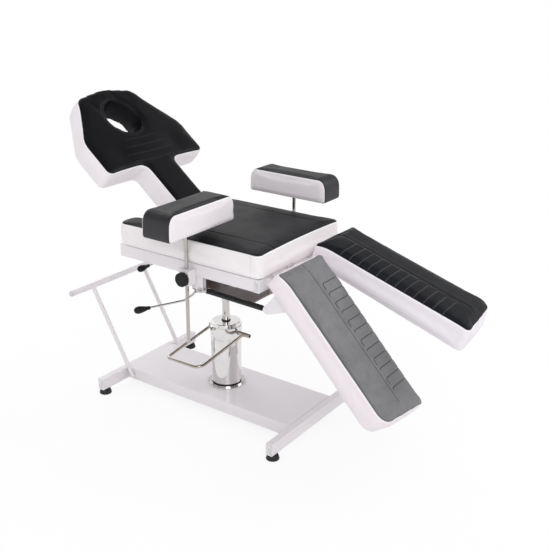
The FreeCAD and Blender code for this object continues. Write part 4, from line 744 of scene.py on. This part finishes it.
padFrames = {  # origin, tilt about X and turn about Z, in degrees
    "seat": ((0, 0, 0.690), 0, 0),
    "nearLeg": ((0, -0.388, 0.682), 47, 0),
    "farLeg": ((0, -0.388, 0.682), 18, 0),
    "back": ((0, 0.1485, 0.678), 39, 0),
    "nearArm": ((-0.283, -0.062, 0.842), 0, 90),
    "farArm": ((0.283, -0.135, 0.855), 0, 0),
}
padPlaces = {name: placeOf(*given) for name, given in padFrames.items()}
# Sizes in metres; ease and calm count the smoothing rounds before and after the cloth run
padSettings = {
    "seat": {"voxel": 0.0062, "start": -0.001, "ease": 3, "heldBand": 0.012, "pressure": 4.0, "cap": 0.005,
             "rise": 0.011, "wrap": 0.0},
    "leg": {"voxel": 0.0058, "start": -0.001, "ease": 4, "heldBand": 0.012, "pressure": 4.0, "cap": 0.005,
            "rise": 0.010, "wrap": 0.0, "round": 0.085, "drop": 0.022},
    "back": {"voxel": 0.0062, "start": -0.001, "ease": 5, "heldBand": 0.012, "pressure": 3.0, "cap": 0.0022,
             "calm": 7, "rise": 0.012, "wrap": 0.0, "stretch": 0.018, "lining": 0.019},
    "arm": {"voxel": 0.0042, "start": -0.0005, "ease": 3, "heldBand": 0.010, "pressure": 4.0, "cap": 0.003,
            "rise": 0.012, "wrap": 0.010, "border": 0.0035},
    "wideArm": {"voxel": 0.0042, "start": -0.0005, "ease": 3, "heldBand": 0.010, "pressure": 4.0, "cap": 0.003,
                "rise": 0.015, "wrap": 0.012, "border": 0.0035, "widen": 0.007},
}

# How the covers sink: width and depth of each line, in metres, and the hollows that use has left
sunkLines = {
    "edge": (0.0032, 0.0011), "seat": (0.004, 0.0016), "upright": (0.003, 0.0009), "ladder": (0.0042, 0.0015),
    "legLong": (0.0036, 0.0017), "legSide": (0.016, 0.0016), "back": (0.0042, 0.0009), "rim": (0.004, 0.0012),
}
hollows = {
    "seat": {"depth": 0.0035, "at": (0, -0.08), "reach": (0.14, 0.20)},
    "shoulders": {"depth": 0.004, "at": (0.15, 0.40), "reach": (0.05, 0.06)},
    "neck": {"depth": 0.003, "at": (0, 0.335), "reach": (0.08, 0.03)},
}
seamTurn = {"seat": 0.72, "leg": 0.66, "back": 0.66}  # how far the skin has turned over where the seam lies
seamBand = 0.12
legCreaseHeight = 0.052
liningMargin = 0.020


def hollow(name, x, y):
    given = hollows[name]
    across, along = (x - given["at"][0]) / given["reach"][0], (y - given["at"][1]) / given["reach"][1]
    return given["depth"] * np.exp(-(across ** 2 + along ** 2))


def edgeGroove(edge):
    return groove(edge, *sunkLines["edge"])


def sideShare(edge):  # 0 on the top panel, 1 well down the side
    return smoothStep(-edge, 0.004, 0.012)


def finishPad(piece, label, body, node, tone, edge):
    if edge is not None:
        writeShare(piece, "panelEdge", edge)
    piece.data.materials.append(makeVinyl(piece.name + "Vinyl", vinylTones[tone], *padFrames[label]))
    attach(piece, body)
    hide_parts(node)


def makeSeatPad():
    place = padPlaces["seat"]
    piece = padBody("seatPad", "seat_cushion", place, padSettings["seat"])
    local, up = readTurn(piece, place)
    seam = seamHeight(local, up, seamTurn["seat"], lambda p: p[:, 2] > 0.06)
    edge = local[:, 2] - seam
    sides = sideShare(edge)

    def depth(p):
        lines = groove(seatSeamDistance(p), *sunkLines["seat"]) * (1 - sides)
        upright = groove(p[:, 1] - seatSeams["sideY"], *sunkLines["upright"]) * sides
        worn = hollow("seat", p[:, 0], p[:, 1]) * (1 - sides)
        return lines + upright + worn + edgeGroove(edge)

    carve(piece, place, depth)
    finishPad(piece, "seat", "tray", "seat_cushion", "seat", edge)


def makeLegPad(label, node, body, tone):
    place = padPlaces[label]
    piece = padBody(label + "Pad", node, place, padSettings["leg"])
    local, up = readTurn(piece, place)
    seam = seamHeight(local, up, seamTurn["leg"], lambda p: (p[:, 2] > 0.07) & (p[:, 1] < -0.14))
    edge = local[:, 2] - seam + rollOver(local, padSettings["leg"])
    sides = sideShare(edge)

    def depth(p):
        lines, long = legSeamDistance(p)
        sunk = (groove(lines, *sunkLines["ladder"]) + groove(long, *sunkLines["legLong"])) * (1 - sides)
        creased = groove(p[:, 2] - legCreaseHeight, *sunkLines["legSide"]) * sides * (np.abs(p[:, 0]) < 0.1)
        return sunk + creased + edgeGroove(edge)

    carve(piece, place, depth)
    finishPad(piece, label, body, node, tone, edge)


def makeBackPad():
    place = padPlaces["back"]
    piece = padBody("backPad", "back_cushion", place, padSettings["back"])
    local, up = readTurn(piece, place)
    rho = np.hypot(local[:, 0], local[:, 1] - faceHole["along"])
    seam = seamHeight(local, up, seamTurn["back"], lambda p: (p[:, 2] > 0.07) & (rho > 0.13))
    edge = np.maximum(local[:, 2] - seam, faceHole["radius"] + liningMargin - rho)
    sides = sideShare(edge)

    def depth(p):
        lines = groove(backSeamDistance(p), *sunkLines["back"])
        rim = groove(rho - faceHole["radius"] - faceHole["rimSeam"], *sunkLines["rim"])
        worn = hollow("shoulders", np.abs(p[:, 0]), p[:, 1]) + hollow("neck", p[:, 0], p[:, 1])
        return (lines + rim + worn) * (1 - sides) + edgeGroove(edge)

    carve(piece, place, depth)
    finishPad(piece, "back", "backrest", "back_cushion", "back", edge)


def makeArmPad(label, node, body, kind):
    place = padPlaces[label]
    piece = padBody(label + "Pad", node, place, padSettings[kind])
    edge = readShare(piece, "panelEdge")
    carve(piece, place, lambda p: edgeGroove(edge))
    finishPad(piece, label, body, node, "arm", None)


makeSeatPad()
makeLegPad("nearLeg", "near_leg_cushion", "near_leg", "nearLeg")
makeLegPad("farLeg", "far_leg_cushion", "far_leg", "farLeg")
makeBackPad()
makeArmPad("nearArm", "near_arm_cushion", "near_arm", "wideArm")
makeArmPad("farArm", "far_arm_cushion", "far_arm", "arm")
print("stage: padded pieces")


# Lever grips: a drop turned about the lever's end, with a collar at its neck
gripShape = {
    "rings": 22, "around": 28, "length": 1.06, "collar": 0.58,
    "outline": ((0.0, 0.50), (0.05, 0.58), (0.10, 0.60), (0.14, 0.54), (0.24, 0.66), (0.40, 0.88), (0.58, 1.06),
                (0.72, 1.12), (0.84, 1.04), (0.93, 0.78), (0.98, 0.44), (1.0, 0.0)),
}


def makeGrip(label, node, lever, body):
    points = np.array([v.co for v in nodes[node].data.vertices])
    stem = np.array([v.co for v in nodes[lever].data.vertices])
    middle = points.mean(axis=0)
    axis = np.linalg.svd(points - middle, full_matrices=False)[2][0]
    near = stem[np.linalg.norm(stem - middle, axis=1).argmin()] - middle
    if axis @ near > 0:  # the drop starts on the lever and ends away from it
        axis = -axis
    run = (points - middle) @ axis
    neck, length = run.min(), (run.max() - run.min()) * gripShape["length"]
    wide = np.linalg.norm((points - middle) - run[:, None] * axis, axis=1).max()
    deselect()
    bpy.ops.mesh.primitive_uv_sphere_add(segments=gripShape["around"], ring_count=gripShape["rings"], radius=1)
    piece = bpy.context.object
    piece.name = label
    bpy.ops.object.mode_set(mode="EDIT")
    mesh = bmesh.from_edit_mesh(piece.data)
    spots, widths = zip(*gripShape["outline"])
    for number in range(1, gripShape["rings"]):  # each ring goes to its place and width along the outline
        height = -math.cos(math.pi * number / gripShape["rings"])
        share = (height + 1) / 2
        bpy.ops.mesh.select_all(action="DESELECT")
        for vertex in mesh.verts:
            vertex.select = abs(vertex.co.z - height) < 0.0001
        mesh.select_flush_mode()
        size = float(np.interp(share, spots, widths)) / math.sqrt(max(1 - height * height, 0.0001))
        bpy.ops.transform.resize(value=(size, size, 1), center_override=(0, 0, height))
        mesh = bmesh.from_edit_mesh(piece.data)
    bpy.ops.object.mode_set(mode="OBJECT")
    piece.scale = (wide, wide, length / 2)
    piece.rotation_mode = "QUATERNION"
    piece.rotation_quaternion = Vector(axis).to_track_quat("Z", "Y")
    piece.location = Vector(middle + axis * (neck + length / 2))
    makeActive(piece)
    bpy.ops.object.transform_apply(location=True, rotation=True, scale=True)
    applyModifier(piece, "SUBSURF", levels=1, render_levels=1)
    makeActive(piece)
    bpy.ops.object.shade_smooth()
    piece.data.materials.append(plastic)
    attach(piece, body)
    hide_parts(node)


makeGrip("nearLeverDrop", "near_lever_grip", "near_leg_lever", "near_lever")
makeGrip("farLeverDrop", "far_lever_grip", "far_leg_lever", "far_lever")
makeGrip("backLeverDrop", "back_lever_grip", "back_lever", "backrest_lever")
print("stage: lever grips")


# Floor, world and lamps

def shownShare(wires, most):  # how much a surface or the sky is plain white, as the camera and the metal see it
    path = wires.add("ShaderNodeLightPath")
    shown = wires.math("ADD", path.outputs["Is Camera Ray"], path.outputs["Is Glossy Ray"])
    shown = wires.math("ADD", shown, path.outputs["Is Transmission Ray"], clamp=True)
    return wires.math("MULTIPLY", shown, most)


def makeFloor():
    bpy.ops.mesh.primitive_plane_add(size=36, location=(0, 0, -0.0004))
    floor = bpy.context.object
    floor.name = "studioFloor"
    material = bpy.data.materials.new("paleFloor")
    material.use_nodes = True
    tree = material.node_tree
    wires = Wires(tree)
    shader = tree.nodes["Principled BSDF"]
    shader.inputs["Roughness"].default_value = 0.9
    place = wires.add("ShaderNodeTexCoord").outputs["Object"]
    speckle = wires.ramp(wires.noise(place, 3.0, 4.0, 0.6), 0.3, 0.7)
    wires.feed(shader.inputs["Base Color"], wires.mixColor(speckle, rgb(0.95, 0.95, 0.95), rgb(0.93, 0.93, 0.93)))
    glow = wires.add("ShaderNodeEmission", inputs={"Color": rgb(1, 1, 1), "Strength": 1.0})
    flat = wires.add("ShaderNodeVectorMath", operation="LENGTH", inputs={0: place}).outputs["Value"]
    most = wires.ramp(flat, 0.9, 2.4, 0.86, 1.0)
    mixed = wires.add("ShaderNodeMixShader", inputs={0: shownShare(wires, most)})
    tree.links.new(shader.outputs[0], mixed.inputs[1])
    tree.links.new(glow.outputs[0], mixed.inputs[2])
    tree.links.new(mixed.outputs[0], tree.nodes["Material Output"].inputs["Surface"])
    floor.data.materials.append(material)


# The room that shine picks up: white behind the object, a dim ceiling, grey to one side, narrow dark posts
roomBands = {
    "ceilingFrom": 0.40, "ceilingTo": 0.54, "ceiling": 0.16, "greyFrom": 0.34, "greyTo": 2.55, "grey": 0.52,
    "posts": ((0.33, 0.07), (1.60, 0.06), (-1.80, 0.09), (-0.9, 0.04)),  # bearing and half width
}


def makeWorld():
    world = bpy.data.worlds.new("softStudio")
    world.use_nodes = True
    bpy.context.scene.world = world
    tree = world.node_tree
    tree.nodes.clear()
    wires = Wires(tree)
    x, y, z = wires.split(wires.add("ShaderNodeTexCoord").outputs["Generated"])
    ahead = wires.math("ADD", wires.math("MULTIPLY", x, -0.82), wires.math("MULTIPLY", y, -0.57))
    right = wires.math("ADD", wires.math("MULTIPLY", x, 0.577), wires.math("MULTIPLY", y, -0.817))
    bearing = wires.math("ARCTAN2", right, ahead)
    inside = wires.math("MULTIPLY", wires.ramp(bearing, roomBands["greyFrom"] - 0.1, roomBands["greyFrom"] + 0.1),
                        wires.ramp(bearing, roomBands["greyTo"] - 0.3, roomBands["greyTo"], 1.0, 0.0))
    tone = wires.ramp(inside, 0.0, 1.0, 1.0, roomBands["grey"])
    overhead = wires.ramp(z, roomBands["ceilingFrom"], roomBands["ceilingTo"], 1.0, roomBands["ceiling"])
    tone = wires.math("MULTIPLY", tone, overhead)
    for place, half in roomBands["posts"]:
        away = wires.math("ABSOLUTE", wires.math("SUBTRACT", bearing, place))
        tone = wires.math("MULTIPLY", tone, wires.ramp(away, half * 0.5, half * 1.5, 0.2, 1.0))
    direct = wires.add("ShaderNodeLightPath").outputs["Is Camera Ray"]
    tone = wires.math("MAXIMUM", tone, direct)
    dim = wires.add("ShaderNodeBackground", inputs={"Color": rgb(0.97, 0.975, 1.0), "Strength": 0.80})
    white = wires.add("ShaderNodeBackground", inputs={"Color": rgb(1, 1, 1), "Strength": tone})
    mixed = wires.add("ShaderNodeMixShader", inputs={0: shownShare(wires, 1.0)})
    tree.links.new(dim.outputs[0], mixed.inputs[1])
    tree.links.new(white.outputs[0], mixed.inputs[2])
    end = wires.add("ShaderNodeOutputWorld")
    tree.links.new(mixed.outputs[0], end.inputs["Surface"])


lampSettings = {
    "keyLamp": {"place": (-3.2, -3.4, 3.6), "size": 2.4, "power": 70},
    "fillLamp": {"place": (3.0, -2.6, 3.2), "size": 2.6, "power": 40},
    "backLamp": {"place": (1.5, 3.6, 3.4), "size": 2.2, "power": 45},
}


def makeLamps():
    aim = Vector((0, -0.1, 0.6))
    for name, given in lampSettings.items():
        bpy.ops.object.light_add(type="AREA", location=given["place"])
        lamp = bpy.context.object
        lamp.name = name
        lamp.data.shape = "SQUARE"
        lamp.data.size = given["size"]
        lamp.data.energy = given["power"]
        lamp.rotation_euler = (aim - Vector(given["place"])).to_track_quat("-Z", "Y").to_euler()


makeFloor()
makeWorld()
makeLamps()
bpy.context.scene.view_settings.view_transform = "Standard"
print("stage: floor, world and lamps")
